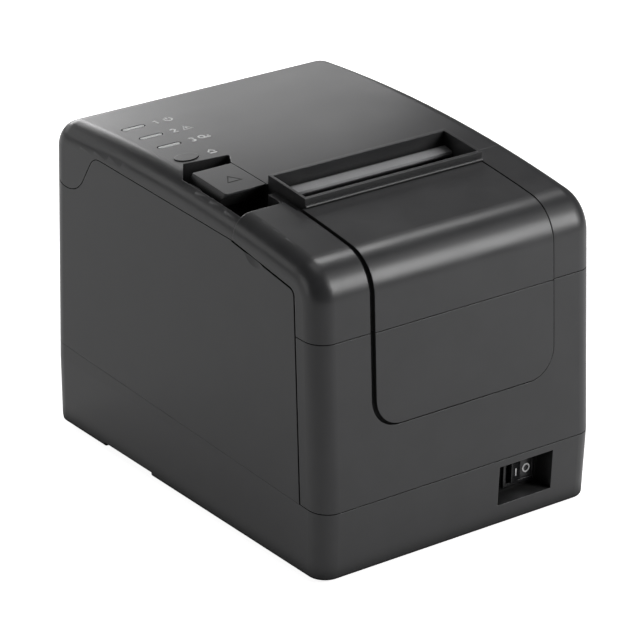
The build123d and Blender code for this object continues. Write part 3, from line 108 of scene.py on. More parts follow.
# ---------------------------------------------------------------- surfaces
@dataclass
class Shell:
    """A closed surface: its points and the faces that join them."""

    points: np.ndarray
    faces: list[tuple[int, ...]]

    @classmethod
    def carried(
        cls,
        profile: np.ndarray,
        path: np.ndarray,
        side: np.ndarray,
        up: np.ndarray,
        ring: bool = False,
    ) -> "Shell":
        """Carries a closed profile along a path.

        Each point is the path's point, plus the profile's first coordinate times the
        side direction, plus its second coordinate times the up direction.

        Args:
            profile: Closed outline, k rows of two.
            path: Points along the run, n rows of three.
            side: Side direction at each path point.
            up: Up direction at each path point.
            ring: True if the last path point joins the first.

        Returns:
            The closed surface, capped at both ends unless it is a ring.
        """
        grid = (
            path[:, None, :]
            + profile[None, :, :1] * side[:, None, :]
            + profile[None, :, 1:] * up[:, None, :]
        )
        rows, around = grid.shape[:2]
        index = np.arange(rows * around).reshape(rows, around)
        after = np.roll(index, -1, axis=0)
        start, end = (index, after) if ring else (index[:-1], after[:-1])
        quads = np.stack(
            [start, np.roll(start, -1, 1), np.roll(end, -1, 1), end], axis=-1
        ).reshape(-1, 4)
        faces = [tuple(row) for row in quads.tolist()]
        if not ring:
            faces.append(tuple(index[0, ::-1].tolist()))
            faces.append(tuple(index[-1].tolist()))
        return cls(grid.reshape(-1, 3), faces).outward()

    @classmethod
    def joined(cls, shells: list["Shell"]) -> "Shell":
        """Puts several surfaces into one, keeping each closed."""
        offsets = np.cumsum([0] + [len(shell.points) for shell in shells[:-1]])
        faces = [
            tuple(corner + int(offset) for corner in face)
            for shell, offset in zip(shells, offsets)
            for face in shell.faces
        ]
        return cls(np.concatenate([shell.points for shell in shells]), faces)

    def repeated(self, moves: np.ndarray) -> "Shell":
        """Copies the surface to each of the given moves, one row of three each."""
        return Shell.joined([Shell(self.points + move, self.faces) for move in moves])

    def outward(self) -> "Shell":
        """Turns the faces outwards.

        The volume is a sixth of the sum, over a fan of triangles in each face, of the
        first corner's dot product with the cross product of the other two.
        """
        middle = self.points.mean(axis=0)
        total = 0.0
        for size in {len(face) for face in self.faces}:
            corners = self.points[[face for face in self.faces if len(face) == size]] - middle
            crossed = np.cross(corners[:, 1:-1], corners[:, 2:])
            total += float((corners[:, :1] * crossed).sum())
        if total < 0:
            self.faces = [face[::-1] for face in self.faces]
        return self

    def piece(
        self,
        name: str,
        material: bpy.types.Material,
        body: Body,
        slot: Slot,
        smooth: bool = False,
    ) -> bpy.types.Object:
        """Makes the surface an object that rides on a body.

        Args:
            name: Name of the piece.
            material: Its finish.
            body: Body that it moves with.
            slot: Not used.
            smooth: True for a rounded piece.

        Returns:
            The object, at the origin.
        """
        mesh = bpy.data.meshes.new(name)
        mesh.from_pydata(self.points.tolist(), [], self.faces)
        mesh.polygons.foreach_set("use_smooth", np.full(len(mesh.polygons), smooth))
        mesh.materials.append(material)
        mesh.update()
        made = bpy.data.objects.new(name, mesh)
        bpy.context.collection.objects.link(made)
        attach(made, body.value)
        LOG.info("%s: %d faces on %s", name, len(mesh.polygons), body.value)
        return made


def box_profile(width: float, height: float) -> np.ndarray:
    """Rectangle about the origin, with its corners cut by a fifth of its shorter side."""
    x, y = width / 2, height / 2
    cut = min(x, y) * 0.4
    return np.array(
        [
            (-x + cut, -y), (x - cut, -y), (x, -y + cut), (x, y - cut),
            (x - cut, y), (-x + cut, y), (-x, y - cut), (-x, -y + cut),
        ]
    )


def round_profile(radius: float, count: int = 10) -> np.ndarray:
    """Circle about the origin: radius times the cosine and sine of even turns."""
    turn = np.linspace(0, 2 * np.pi, count, endpoint=False)
    return radius * np.stack([np.cos(turn), np.sin(turn)], axis=1)


def arc(x: float, y: float, radius: float, first: float, last: float, count: int = 20) -> np.ndarray:
    """Points of an arc: its centre plus the radius along each angle, in degrees."""
    turn = np.radians(np.linspace(first, last, count))
    return np.stack([x + radius * np.cos(turn), y + radius * np.sin(turn)], axis=1)


def wire(path: np.ndarray, profile: np.ndarray) -> Shell:
    """Carries a profile along a run that stays in one upright fore-and-aft plane.

    The side direction is +X and the up direction is the cross product of the
    direction of travel with it.

    Args:
        path: Points along the run, n rows of three.
        profile: Closed outline.

    Returns:
        The capped surface.
    """
    along = np.gradient(path, axis=0)
    along /= np.linalg.norm(along, axis=1, keepdims=True)
    side = np.tile((1.0, 0.0, 0.0), (len(path), 1))
    return Shell.carried(profile, path, side, np.cross(along, side))


def inked(strokes: list[np.ndarray], width: float, depth: float, place: Placer) -> Shell:
    """Raises flat strokes, as print lies on a surface.

    Each stroke is a band: its line, moved half its width to both sides along the
    line's normal, at the top and the bottom of the ink. A stroke whose ends meet is
    a ring.

    Args:
        strokes: Lines in the mark's own plane, rows of two.
        width: Width of the line.
        depth: Height of the ink over and under the surface.
        place: Maps the plane's two coordinates and the height to space.

    Returns:
        The raised strokes as one surface.
    """
    profile = np.array([(-0.5, -1.0), (0.5, -1.0), (0.5, 1.0), (-0.5, 1.0)])
    shells = []
    for stroke in strokes:
        ring = bool(np.allclose(stroke[0], stroke[-1]))
        line = stroke[:-1] if ring else stroke
        ahead, behind = np.roll(line, -1, 0), np.roll(line, 1, 0)
        if not ring:
            ahead[-1], behind[0] = line[-1], line[0]
        along = ahead - behind
        along /= np.linalg.norm(along, axis=1, keepdims=True)
        flat = np.zeros(len(line))
        path = np.stack([line[:, 0], line[:, 1], flat], axis=1)
        side = np.stack([-along[:, 1], along[:, 0], flat], axis=1)
        up = np.tile((0.0, 0.0, 1.0), (len(line), 1))
        band = Shell.carried(profile * (width, depth), path, side, up, ring)
        band.points = place(band.points[:, 0], band.points[:, 1], band.points[:, 2])
        shells.append(band.outward())
    return Shell.joined(shells)


# ---------------------------------------------------------------- materials
class Wiring:
    """A short way to place and join the nodes of one tree."""

    def __init__(self, tree: bpy.types.NodeTree) -> None:
        """Keeps the tree that nodes are placed in."""
        self.tree = tree

    def node(self, kind: str, inputs: dict | None = None, **options: object) -> bpy.types.Node:
        """Places a node.

        Args:
            kind: Node type.
            inputs: Socket name or number, and the value or the output that feeds it.
            **options: Settings of the node itself.

        Returns:
            The node.
        """
        placed = self.tree.nodes.new(kind)
        for name, value in options.items():
            setattr(placed, name, value)
        for name, value in (inputs or {}).items():
            if isinstance(value, bpy.types.NodeSocket):
                self.tree.links.new(value, placed.inputs[name])
            else:
                placed.inputs[name].default_value = value
        return placed

    def math(self, operation: str, first: object, second: object = 0.0) -> bpy.types.NodeSocket:
        """Returns the output of a Math node."""
        return self.node("ShaderNodeMath", {0: first, 1: second}, operation=operation).outputs[0]

    def ramp(
        self, value: object, low: float, high: float, start: object, end: object
    ) -> bpy.types.NodeSocket:
        """Returns a value carried from low..high to start..end, held at both ends."""
        sockets = {"Value": value, "From Min": low, "From Max": high, "To Min": start, "To Max": end}
        return self.node("ShaderNodeMapRange", sockets, interpolation_type="SMOOTHSTEP").outputs[0]

    def mix(self, factor: object, first: object, second: object) -> bpy.types.NodeSocket:
        """Returns the blend of two colours, each a triple or an output."""
        first, second = (
            c if isinstance(c, bpy.types.NodeSocket) else (*c, 1.0) for c in (first, second)
        )
        return self.node("ShaderNodeMix", {0: factor, 6: first, 7: second}, data_type="RGBA").outputs[2]

    def place(self) -> bpy.types.NodeSocket:
        """Returns the piece's own coordinates, in metres."""
        return self.node("ShaderNodeTexCoord").outputs["Object"]


class Effects:
    """Node groups that several finishes share, each built once."""

    def __init__(self) -> None:
        """Builds the groups."""
        self.grain = self._grain()
        self.soft_edge = self._soft_edge()
        self.painted_shade = self._painted_shade()

    @staticmethod
    def _grain() -> bpy.types.NodeTree:
        """Fine relief and slow mottling, with a size and a stretch on each axis."""
        tree = bpy.data.node_groups.new("surface_grain", "ShaderNodeTree")
        face = tree.interface
        size = face.new_socket("Size", in_out="INPUT", socket_type="NodeSocketFloat")
        size.default_value = 0.0005
        stretch = face.new_socket("Stretch", in_out="INPUT", socket_type="NodeSocketVector")
        stretch.default_value = (1, 1, 1)
        face.new_socket("Height", in_out="OUTPUT", socket_type="NodeSocketFloat")
        face.new_socket("Mottle", in_out="OUTPUT", socket_type="NodeSocketFloat")
        wiring = Wiring(tree)
        given = wiring.node("NodeGroupInput").outputs
        sockets = {0: wiring.place(), 1: given["Stretch"]}
        stretched = wiring.node("ShaderNodeVectorMath", sockets, operation="MULTIPLY").outputs[0]
        scale = wiring.math("DIVIDE", 1.0, given["Size"])
        fine = {"Vector": stretched, "Scale": scale, "Detail": 2.0, "Roughness": 0.6}
        slow = {"Vector": stretched, "Scale": 45.0, "Detail": 3.0, "Roughness": 0.55}
        height = wiring.node("ShaderNodeTexNoise", fine).outputs[0]
        mottle = wiring.node("ShaderNodeTexNoise", slow).outputs[0]
        wiring.node("NodeGroupOutput", {"Height": height, "Mottle": mottle})
        return tree

    @staticmethod
    def _soft_edge() -> bpy.types.NodeTree:
        """Rounds the light over sharp edges, and finds where those edges are.

        The edge value is one less the dot product of the rounded normal and the
        surface's own, broken up by a noise.
        """
        tree = bpy.data.node_groups.new("soft_edge", "ShaderNodeTree")
        face = tree.interface
        radius = face.new_socket("Radius", in_out="INPUT", socket_type="NodeSocketFloat")
        radius.default_value = 0.0004
        face.new_socket("Normal", in_out="OUTPUT", socket_type="NodeSocketVector")
        face.new_socket("Edge", in_out="OUTPUT", socket_type="NodeSocketFloat")
        wiring = Wiring(tree)
        given = wiring.node("NodeGroupInput").outputs["Radius"]
        rounded = wiring.node("ShaderNodeBevel", {"Radius": given}, samples=6).outputs[0]
        own = wiring.node("ShaderNodeNewGeometry").outputs["Normal"]
        likeness = wiring.node("ShaderNodeVectorMath", {0: rounded, 1: own}, operation="DOT_PRODUCT")
        turned = wiring.math("SUBTRACT", 1.0, likeness.outputs["Value"])
        noise = {"Vector": wiring.place(), "Scale": 260.0}
        patches = wiring.node("ShaderNodeTexNoise", noise).outputs[0]
        broken = wiring.ramp(patches, 0.3, 0.7, 0.55, 1.0)
        edge = wiring.math("MULTIPLY", wiring.ramp(turned, 0.02, 0.3, 0.0, 1.0), broken)
        wiring.node("NodeGroupOutput", {"Normal": rounded, "Edge": edge})
        return tree

    @staticmethod
    def _painted_shade() -> bpy.types.NodeTree:
        """Finds slots, pockets and channels for painted shade: there the moulding is painted darker and
        made duller.

        The value is one less the open share of the sky over a point, taken within
        the reach and carried up steeply.
        """
        tree = bpy.data.node_groups.new("painted_shade", "ShaderNodeTree")
        face = tree.interface
        reach = face.new_socket("Reach", in_out="INPUT", socket_type="NodeSocketFloat")
        reach.default_value = 0.01
        face.new_socket("PaintedShade", in_out="OUTPUT", socket_type="NodeSocketFloat")
        wiring = Wiring(tree)
        given = wiring.node("NodeGroupInput").outputs["Reach"]
        sky = wiring.node("ShaderNodeAmbientOcclusion", {"Distance": given}, samples=8)
        painted_shade = wiring.ramp(sky.outputs["AO"], 0.45, 0.92, 1.0, 0.0)
        wiring.node("NodeGroupOutput", {"PaintedShade": painted_shade})
        return tree


@dataclass(frozen=True)
class Finish:
    """A moulded or painted surface: fine grain, slow mottling and eased edges.

    The colour runs between a darker and a lighter value with the mottling, and is
    lighter still on the edges, partly as wear and partly as a painted highlight; the
    roughness follows the mottling. Where painted shade is set, slots and pockets lose
    that share of the colour as painted shade, and turn dull.
    """

    name: str
    colour: Colour
    roughness: float = 0.45
    metallic: float = 0.0
    grain: float = 0.0005
    depth: float = 0.00002
    stretch: Colour = (1.0, 1.0, 1.0)
    mottle: float = 0.06
    # Edge lightening: partly wear, partly a painted highlight.
    wear_and_painted_light: float = 0.25
    radius: float = 0.0004
    coat: float = 0.0
    wear_and_highlight_tint: float = 1.6
    # Painted shade in slots and pockets: its share of the colour, its reach and the roughness there.
    painted_shade: float = 0.0
    painted_shade_reach: float = 0.012
    painted_shade_roughness: float = 0.9

    def base(self, wiring: Wiring, mottle: bpy.types.NodeSocket) -> bpy.types.NodeSocket:
        """Returns the colour before edges are eased."""
        dark = tuple(c * (1 - self.mottle) for c in self.colour)
        pale = tuple(min(1.0, c * (1 + self.mottle)) for c in self.colour)
        return wiring.mix(wiring.ramp(mottle, 0.3, 0.7, 0.0, 1.0), dark, pale)

    def build(self, effects: Effects) -> bpy.types.Material:
        """Makes the material.

        Args:
            effects: The shared node groups.

        Returns:
            The material.
        """
        material = bpy.data.materials.new(self.name)
        material.use_nodes = True
        material.node_tree.nodes.clear()
        wiring = Wiring(material.node_tree)
        grain = self._group(wiring, effects.grain, {"Size": self.grain, "Stretch": self.stretch})
        soft = self._group(wiring, effects.soft_edge, {"Radius": self.radius})
        base = self.base(wiring, grain.outputs["Mottle"])
        # Edges lighter in colour: partly wear, partly a painted highlight.
        pale = tuple(min(1.0, c * self.wear_and_highlight_tint + 0.02) for c in self.colour)
        wear_and_painted_light = wiring.mix(wiring.math("MULTIPLY", soft.outputs["Edge"], self.wear_and_painted_light), base, pale)
        # Painted shade: the colour is darkened towards near black in slots, pockets and channels.
        if self.painted_shade:
            painted_shade_mask = self._group(wiring, effects.painted_shade, {"Reach": self.painted_shade_reach}).outputs["PaintedShade"]
            shade = tuple(c * (1 - self.painted_shade) for c in self.colour)
            wear_and_painted_light = wiring.mix(painted_shade_mask, wear_and_painted_light, shade)
        rough = wiring.ramp(
            grain.outputs["Mottle"], 0.25, 0.75, self.roughness * 0.92, min(1.0, self.roughness * 1.08)
        )
        if self.painted_shade:
            rough = wiring.ramp(painted_shade_mask, 0.0, 1.0, rough, self.painted_shade_roughness)
        bump = wiring.node(
            "ShaderNodeBump",
            {
                "Strength": 1.0,
                "Distance": self.depth,
                "Height": grain.outputs["Height"],
                "Normal": soft.outputs["Normal"],
            },
        )
        shader = wiring.node(
            "ShaderNodeBsdfPrincipled",
            {
                "Base Color": wear_and_painted_light,
                "Roughness": rough,
                "Metallic": self.metallic,
                "Coat Weight": self.coat,
                "Normal": bump.outputs[0],
            },
        )
        wiring.node("ShaderNodeOutputMaterial", {"Surface": shader.outputs[0]})
        material.diffuse_color = (*self.colour, 1.0)
        return material

    @staticmethod
    def _group(wiring: Wiring, tree: bpy.types.NodeTree, inputs: dict) -> bpy.types.Node:
        """Places a shared group and sets its inputs."""
        placed = wiring.tree.nodes.new("ShaderNodeGroup")
        placed.node_tree = tree
        for name, value in inputs.items():
            placed.inputs[name].default_value = value
        return placed


@dataclass(frozen=True)
class ZincSheet(Finish):
    """Zinc-plated sheet with faint spangles, each a cell of a Voronoi pattern."""

    spangle: float = 0.004

    def base(self, wiring: Wiring, mottle: bpy.types.NodeSocket) -> bpy.types.NodeSocket:
        """Returns the plated colour, a little different in each spangle."""
        pattern = {"Vector": wiring.place(), "Scale": 1 / self.spangle}
        cells = wiring.node("ShaderNodeTexVoronoi", pattern)
        shade = wiring.node("ShaderNodeSeparateColor", {0: cells.outputs["Color"]}).outputs[0]
        plain = super().base(wiring, mottle)
        blue = tuple(c * f for c, f in zip(self.colour, (0.86, 0.88, 0.93)))
        return wiring.mix(wiring.math("MULTIPLY", shade, 0.6), plain, blue)


@dataclass(frozen=True)
class CircuitBoard(Finish):
    """Lacquered board with copper tracks under the lacquer and gilt pads on it.

    Tracks lie on the borders of square-metric Voronoi cells; pads are the discs
    round the points of an even grid, kept where a slow noise is high.
    """

    track_pitch: float = 0.0032
    pad_pitch: float = 0.00254

    def base(self, wiring: Wiring, mottle: bpy.types.NodeSocket) -> bpy.types.NodeSocket:
        """Returns lacquer, tracks and pads."""
        cells = wiring.node(
            "ShaderNodeTexVoronoi",
            {"Vector": wiring.place(), "Scale": 1 / self.track_pitch},
            feature="F1",
            distance="CHEBYCHEV",
        )
        track = wiring.ramp(cells.outputs["Distance"], 0.52, 0.58, 0.0, 1.0)
        plain = super().base(wiring, mottle)
        light = (self.colour[0] + 0.03, min(1.0, self.colour[1] * 1.9), self.colour[2] + 0.05)
        lacquer = wiring.mix(track, plain, light)
        return wiring.mix(self._pads(wiring), lacquer, (0.75, 0.56, 0.22))

    def _pads(self, wiring: Wiring) -> bpy.types.NodeSocket:
        """Returns one where a pad lies."""
        dots = wiring.node(
            "ShaderNodeTexVoronoi",
            {"Vector": wiring.place(), "Scale": 1 / self.pad_pitch, "Randomness": 0.0},
            voronoi_dimensions="2D",
        )
        disc = wiring.ramp(dots.outputs["Distance"], 0.2, 0.26, 1.0, 0.0)
        where = wiring.node("ShaderNodeTexNoise", {"Vector": wiring.place(), "Scale": 70.0}).outputs[0]
        return wiring.math("MULTIPLY", disc, wiring.ramp(where, 0.55, 0.6, 0.0, 1.0))


@dataclass(frozen=True)
class Striped(Finish):
    """Flat cable: even stripes across its width, from the sine of the place."""

    pitch: float = 0.001
    stripe: Colour = (0.35, 0.33, 0.3)

    def base(self, wiring: Wiring, mottle: bpy.types.NodeSocket) -> bpy.types.NodeSocket:
        """Returns the film with its conductors showing through."""
        across = wiring.node("ShaderNodeSeparateXYZ", {0: wiring.place()}).outputs[0]
        wave = wiring.math("SINE", wiring.math("MULTIPLY", across, 2 * np.pi / self.pitch))
        film = super().base(wiring, mottle)
        return wiring.mix(wiring.ramp(wave, -0.1, 0.3, 0.0, 1.0), film, self.stripe)


class Palette:
    """Finishes of every material slot, and of the few nodes that have their own."""

    def __init__(self, effects: Effects) -> None:
        """Builds every finish once."""
        along = (0.04, 1.0, 1.0)  # brushed along X
        finishes = {
            # Edges painted much lighter as a highlight; slots and pockets painted near black as shade.
            Slot.CASE: Finish(
                "charcoal_case",
                (0.044, 0.044, 0.046),
                0.32,
                grain=0.00045,
                depth=0.000022,
                wear_and_painted_light=1.0,
                wear_and_highlight_tint=3.0,
                painted_shade=0.97,
                painted_shade_reach=0.014,
            ),
            # Painted shade darkens the bar where it lies deep in the slot.
            Slot.GREY: Finish(
                "grey_guide_bar",
                (0.42, 0.42, 0.43),
                0.5,
                depth=0.00001,
                painted_shade=0.8,
                painted_shade_reach=0.02,
            ),
            Slot.RUBBER: Finish(
                "black_rubber", (0.022, 0.022, 0.022), 0.75, grain=0.0008, depth=0.00003, wear_and_painted_light=0.1
            ),
            Slot.STEEL: Finish(
                "ground_steel",
                (0.6, 0.6, 0.61),
                0.3,
                metallic=1.0,
                grain=0.0003,
                depth=0.000004,
                stretch=along,
                wear_and_painted_light=0.3,
            ),
            Slot.SHEET: ZincSheet(
                "zinc_sheet", (0.6, 0.61, 0.62), 0.38, metallic=1.0, grain=0.0004, depth=0.000004
            ),
            Slot.GEAR: Finish(
                "acetal_gears", (0.74, 0.72, 0.66), 0.36, grain=0.0006, depth=0.000006, mottle=0.03
            ),
            Slot.ALUMINIUM: Finish(
                "drawn_aluminium",
                (0.72, 0.72, 0.74),
                0.34,
                metallic=1.0,
                grain=0.0003,
                depth=0.000006,
                stretch=along,
            ),
            Slot.CERAMIC: Finish(
                "glazed_ceramic", (0.74, 0.71, 0.64), 0.16, coat=0.4, depth=0.000002, mottle=0.03
            ),
            Slot.BOARD: CircuitBoard(
                "green_board", (0.012, 0.11, 0.045), 0.3, depth=0.000006, coat=0.3
            ),
            Slot.BLACK: Finish("black_mouldings", (0.02, 0.02, 0.021), 0.5, depth=0.00002),
            Slot.MOTOR: Finish(
                "motor_steel", (0.42, 0.42, 0.43), 0.36, metallic=1.0, grain=0.0004, depth=0.000006
            ),
            # Its edges are lighter, partly as wear and partly as a painted highlight.
            Slot.WINDOW: Finish(
                "milky_window",
                (0.42, 0.43, 0.43),
                0.25,
                depth=0.000003,
                mottle=0.04,
                wear_and_painted_light=1.0,
                wear_and_highlight_tint=2.8,
            ),
            Slot.SWITCH: Finish(
                "glossy_switch",
                (0.012, 0.012, 0.013),
                0.2,
                depth=0.000004,
                grain=0.001,
                radius=0.0006,
            ),
            Slot.RIBBON: Striped("flat_cable", (0.72, 0.71, 0.68), 0.35, depth=0.000004),
            Slot.SOCKET: Finish(
                "plated_shield", (0.66, 0.66, 0.66), 0.28, metallic=1.0, grain=0.0004, depth=0.000004
            ),
        }
        self.by_slot = {slot: finish.build(effects) for slot, finish in finishes.items()}
        small = [
            Finish("white_print", (0.86, 0.86, 0.86), 0.6, depth=0.000004, wear_and_painted_light=0.0),
            Finish("dark_mark", (0.006, 0.006, 0.006), 0.6, depth=0.000004, wear_and_painted_light=0.0),
            Finish("gilt_contacts", (0.83, 0.6, 0.26), 0.25, metallic=1.0, depth=0.000002),
            Finish("tinned_leads", (0.7, 0.7, 0.7), 0.3, metallic=1.0, depth=0.000002),
        ]
        self.ink, self.mark, self.gilt, self.tin = (finish.build(effects) for finish in small)
        roller = Finish(
            "ground_roller",
            (0.03, 0.03, 0.031),
            0.62,
            grain=0.0003,
            depth=0.000012,
            stretch=(1.0, 0.04, 0.04),
        )
        self.by_node = {"platen_roller": roller.build(effects)}

    def dress(self, nodes: dict[str, bpy.types.Object], slots: dict[str, str]) -> None:
        """Puts each node's finish on it.

        Args:
            nodes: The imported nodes.
            slots: Each node's material slot in the record.
        """
        for name, node in nodes.items():
            material = self.by_node.get(name) or self.by_slot[Slot(slots[name])]
            for place in node.material_slots:
                place.material = material
            if not node.material_slots:
                node.data.materials.append(material)
            LOG.info("%s finished as %s", name, material.name)


# ---------------------------------------------------------------- sub-assemblies
@dataclass
class LidMarks:
    """Printed marks on the lid and the mark on its opening lever."""

    palette: Palette
    crown_height: float = 0.145
    crown_radius: float = 0.720
    crown_middle: float = 0.030
    line: float = 0.0009
    ink: float = 0.00006
    first_row: float = 0.0365
    row_pitch: float = 0.0132
    mark_x: float = -0.0418
    sign_step: float = 0.0062
    feed_y: float = 0.0213
    feed_shift: float = -0.001
    size: float = 0.0018
    arrow_line: float = 0.001
    arrow_place: tuple[float, float] = (-0.0525, -0.0065)
    arrow_half: float = 0.0034
    arrow_tip: float = 0.0028
    arrow_foot: float = -0.0022

    def on_crown(self, x: np.ndarray, y: np.ndarray, lift: np.ndarray) -> np.ndarray:
        """Places a flat mark on the lid.

        The height is the crown's, which is an arc: its radius below the top, plus
        the root of the radius squared less the distance from the middle squared.
        """
        over = np.sqrt(self.crown_radius**2 - (y - self.crown_middle) ** 2)
        return np.stack([x, y, self.crown_height - self.crown_radius + over + lift], axis=1)

    def moved(self, strokes: list[np.ndarray], x: float, y: float) -> list[np.ndarray]:
        """Moves a mark's strokes to its place and brings them to size."""
        return [stroke * self.size + (x, y) for stroke in strokes]

    def signs(self) -> list[list[np.ndarray]]:
        """Returns plain signs: power, fault, paper and feed, each about two units high."""
        power = [arc(0, 0, 1.0, 125, 415), np.array([(0, 0.3), (0, 1.25)])]
        fault = [
            np.array([(-1.2, -1), (1.2, -1), (0, 1.2), (-1.2, -1)]),
            np.array([(0, -0.45), (0, 0.4)]),
        ]
        paper = [
            arc(-0.6, 0.2, 0.75, 0, 360),
            np.array([(-0.6, -0.55), (1.5, -0.55)]),
            np.array([(0.9, 0.2), (1.5, 0.2)]),
        ]
        feed = [np.array([(-1.0, -0.2), (0, 0.9), (1.0, -0.2)]), np.array([(-1.0, -0.9), (1.0, -0.9)])]
        return [power, fault, paper, feed]

    def digits(self) -> list[list[np.ndarray]]:
        """Returns the digits 1 to 3, built from straight lines and arcs."""
        one = [np.array([(-0.4, 0.6), (0.1, 1.0), (0.1, -1.0)])]
        two = [np.concatenate([arc(0, 0.45, 0.55, 160, -30), [(-0.6, -1.0), (0.65, -1.0)]])]
        three = [np.concatenate([arc(0, 0.5, 0.5, 150, -80), arc(0, -0.5, 0.55, 80, -150)])]
        return [one, two, three]

    def build(self) -> None:
        """Makes the marks beside the windows and the button, and on the lever."""
        signs, digits = self.signs(), self.digits()
        for row in range(3):
            y = self.first_row + (2 - row) * self.row_pitch
            digit = self.moved(digits[row], self.mark_x, y)
            sign = self.moved(signs[row], self.mark_x + self.sign_step, y)
            self._print(f"indicator_sign_{row + 1}", digit + sign)
        self._print("feed_sign", self.moved(signs[3], self.mark_x + self.feed_shift, self.feed_y))
        tip, left, right = (
            (0.0, self.arrow_tip),
            (-self.arrow_half, self.arrow_foot),
            (self.arrow_half, self.arrow_foot),
        )
        arrow = np.array([tip, left, right, tip]) + self.arrow_place
        shell = inked([arrow], self.arrow_line, self.ink, self.on_crown)
        shell.piece("lever_arrow", self.palette.mark, Body.LATCH, Slot.CASE)

    def _print(self, name: str, strokes: list[np.ndarray]) -> None:
        """Prints one sign on the lid."""
        shell = inked(strokes, self.line, self.ink, self.on_crown)
        shell.piece(name, self.palette.ink, Body.LID, Slot.GREY)


@dataclass
class RockerMarks:
    """The circle and the dash on the power rocker."""

    palette: Palette
    pivot_x: float = 0.0384
    pivot_y: float = -0.0856
    middle_z: float = 0.0198
    turn: float = 8.0
    slope: float = 0.8 / 6.2
    face: float = 0.0036
    line: float = 0.0007
    ink: float = 0.00006
    circle_middle: tuple[float, float] = (0.0032, -0.0007)
    circle_radius: float = 0.0017
    dash_x: float = -0.0031
    dash_ends: tuple[float, float] = (-0.0024, 0.001)

    def on_face(self, x: np.ndarray, z: np.ndarray, lift: np.ndarray) -> np.ndarray:
        """Places a mark on the rocker's hollow face.

        The face falls back from its two outer ends to the middle by its slope. The
        point is then turned about the pivot by the rocker's own rest angle.
        """
        y = -self.face - self.slope * np.abs(x) - lift
        c, s = np.cos(np.radians(self.turn)), np.sin(np.radians(self.turn))
        across, back = self.pivot_x + x * c - y * s, self.pivot_y + x * s + y * c
        return np.stack([across, back, self.middle_z + z], axis=1)

    def build(self) -> None:
        """Makes both marks as one piece."""
        circle = arc(*self.circle_middle, self.circle_radius, 0, 360, 28)
        dash = np.array([(self.dash_x, end) for end in self.dash_ends])
        shell = inked([circle, dash], self.line, self.ink, self.on_face)
        shell.piece("rocker_signs", self.palette.ink, Body.ROCKER, Slot.SWITCH)


@dataclass
class Contacts:
    """Sprung contacts in the sockets, and the leads of the chips."""

    palette: Palette
    thickness: float = 0.00035
    contact_pitch: float = 0.00102
    mouth_gap: float = 0.003
    contact_run: float = 0.0065
    roof_gap: float = 0.0016
    contact_fall: float = 0.0014
    lead_width: float = 0.0004
    lead_depth: float = 0.00018
    lead_tuck: float = 0.0002
    lead_run: float = 0.0016
    lead_rest: float = 0.0001
    lead_drop: float = 0.0008

    def comb(self, node: str, count: int) -> Shell:
        """Makes a row of sloping contact wires in a socket's mouth.

        Each wire starts at the roof near the mouth and falls back as it goes in: its
        height is a cosine of the way in.

        Args:
            node: The socket.
            count: Number of contacts.

        Returns:
            The row.
        """
        low, high = (np.array(corner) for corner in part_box(node))
        way = np.linspace(0.0, 1.0, 12)
        y = high[1] - self.mouth_gap - self.contact_run * way
        z = high[2] - self.roof_gap - self.contact_fall * (1 - np.cos(np.pi * way)) / 2
        path = np.stack([np.full_like(way, (low[0] + high[0]) / 2), y, z], axis=1)
        return wire(path, round_profile(self.thickness / 2, 8)).repeated(
            self.spread(count, self.contact_pitch)
        )

    @staticmethod
    def spread(count: int, pitch: float) -> np.ndarray:
        """Returns even moves along X, about the middle."""
        steps = (np.arange(count) - (count - 1) / 2) * pitch
        return np.stack([steps, 0 * steps, 0 * steps], axis=1)

    def leads(
        self, x: float, y: float, half: float, count: int, pitch: float, top: float
    ) -> Shell:
        """Makes the gull-wing leads of a square chip.

        A lead leaves the side level, drops by a smooth step and lies flat: its height
        is half of one plus the cosine of the way down.

        Args:
            x: Middle across.
            y: Middle fore and aft.
            half: Half the chip's side.
            count: Leads on each side.
            pitch: Distance between leads.
            top: Height of the board.

        Returns:
            The leads of all four sides.
        """
        way = np.linspace(0.0, 1.0, 9)
        drop = 0.5 * (1 + np.cos(np.pi * np.clip((way - 0.2) / 0.5, 0, 1)))
        out = half - self.lead_tuck + self.lead_run * way
        path = np.stack([0 * way, out, self.lead_rest + self.lead_drop * drop], axis=1)
        lead = wire(path, box_profile(self.lead_width, self.lead_depth))
        row = lead.repeated(self.spread(count, pitch))
        sides = []
        for quarter in range(4):
            c, s = np.cos(quarter * np.pi / 2), np.sin(quarter * np.pi / 2)
            turn = np.array([(c, s, 0), (-s, c, 0), (0, 0, 1)])
            sides.append(Shell(row.points @ turn + (x, y, top), row.faces))
        return Shell.joined(sides)

    def build(self) -> None:
        """Makes the contacts and leads."""
        for node, name, count in (
            ("network_socket", "network_contacts", 8),
            ("drawer_socket", "drawer_contacts", 6),
        ):
            row = self.comb(node, count)
            row.piece(name, self.palette.gilt, Body.PRINTER, Slot.SOCKET, smooth=True)
        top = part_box("board_chips")[0][2]
        legs = self.leads(x=0.0, y=0.030, half=0.008, count=16, pitch=0.0008, top=top)
        legs.piece("processor_leads", self.palette.tin, Body.PRINTER, Slot.SOCKET)


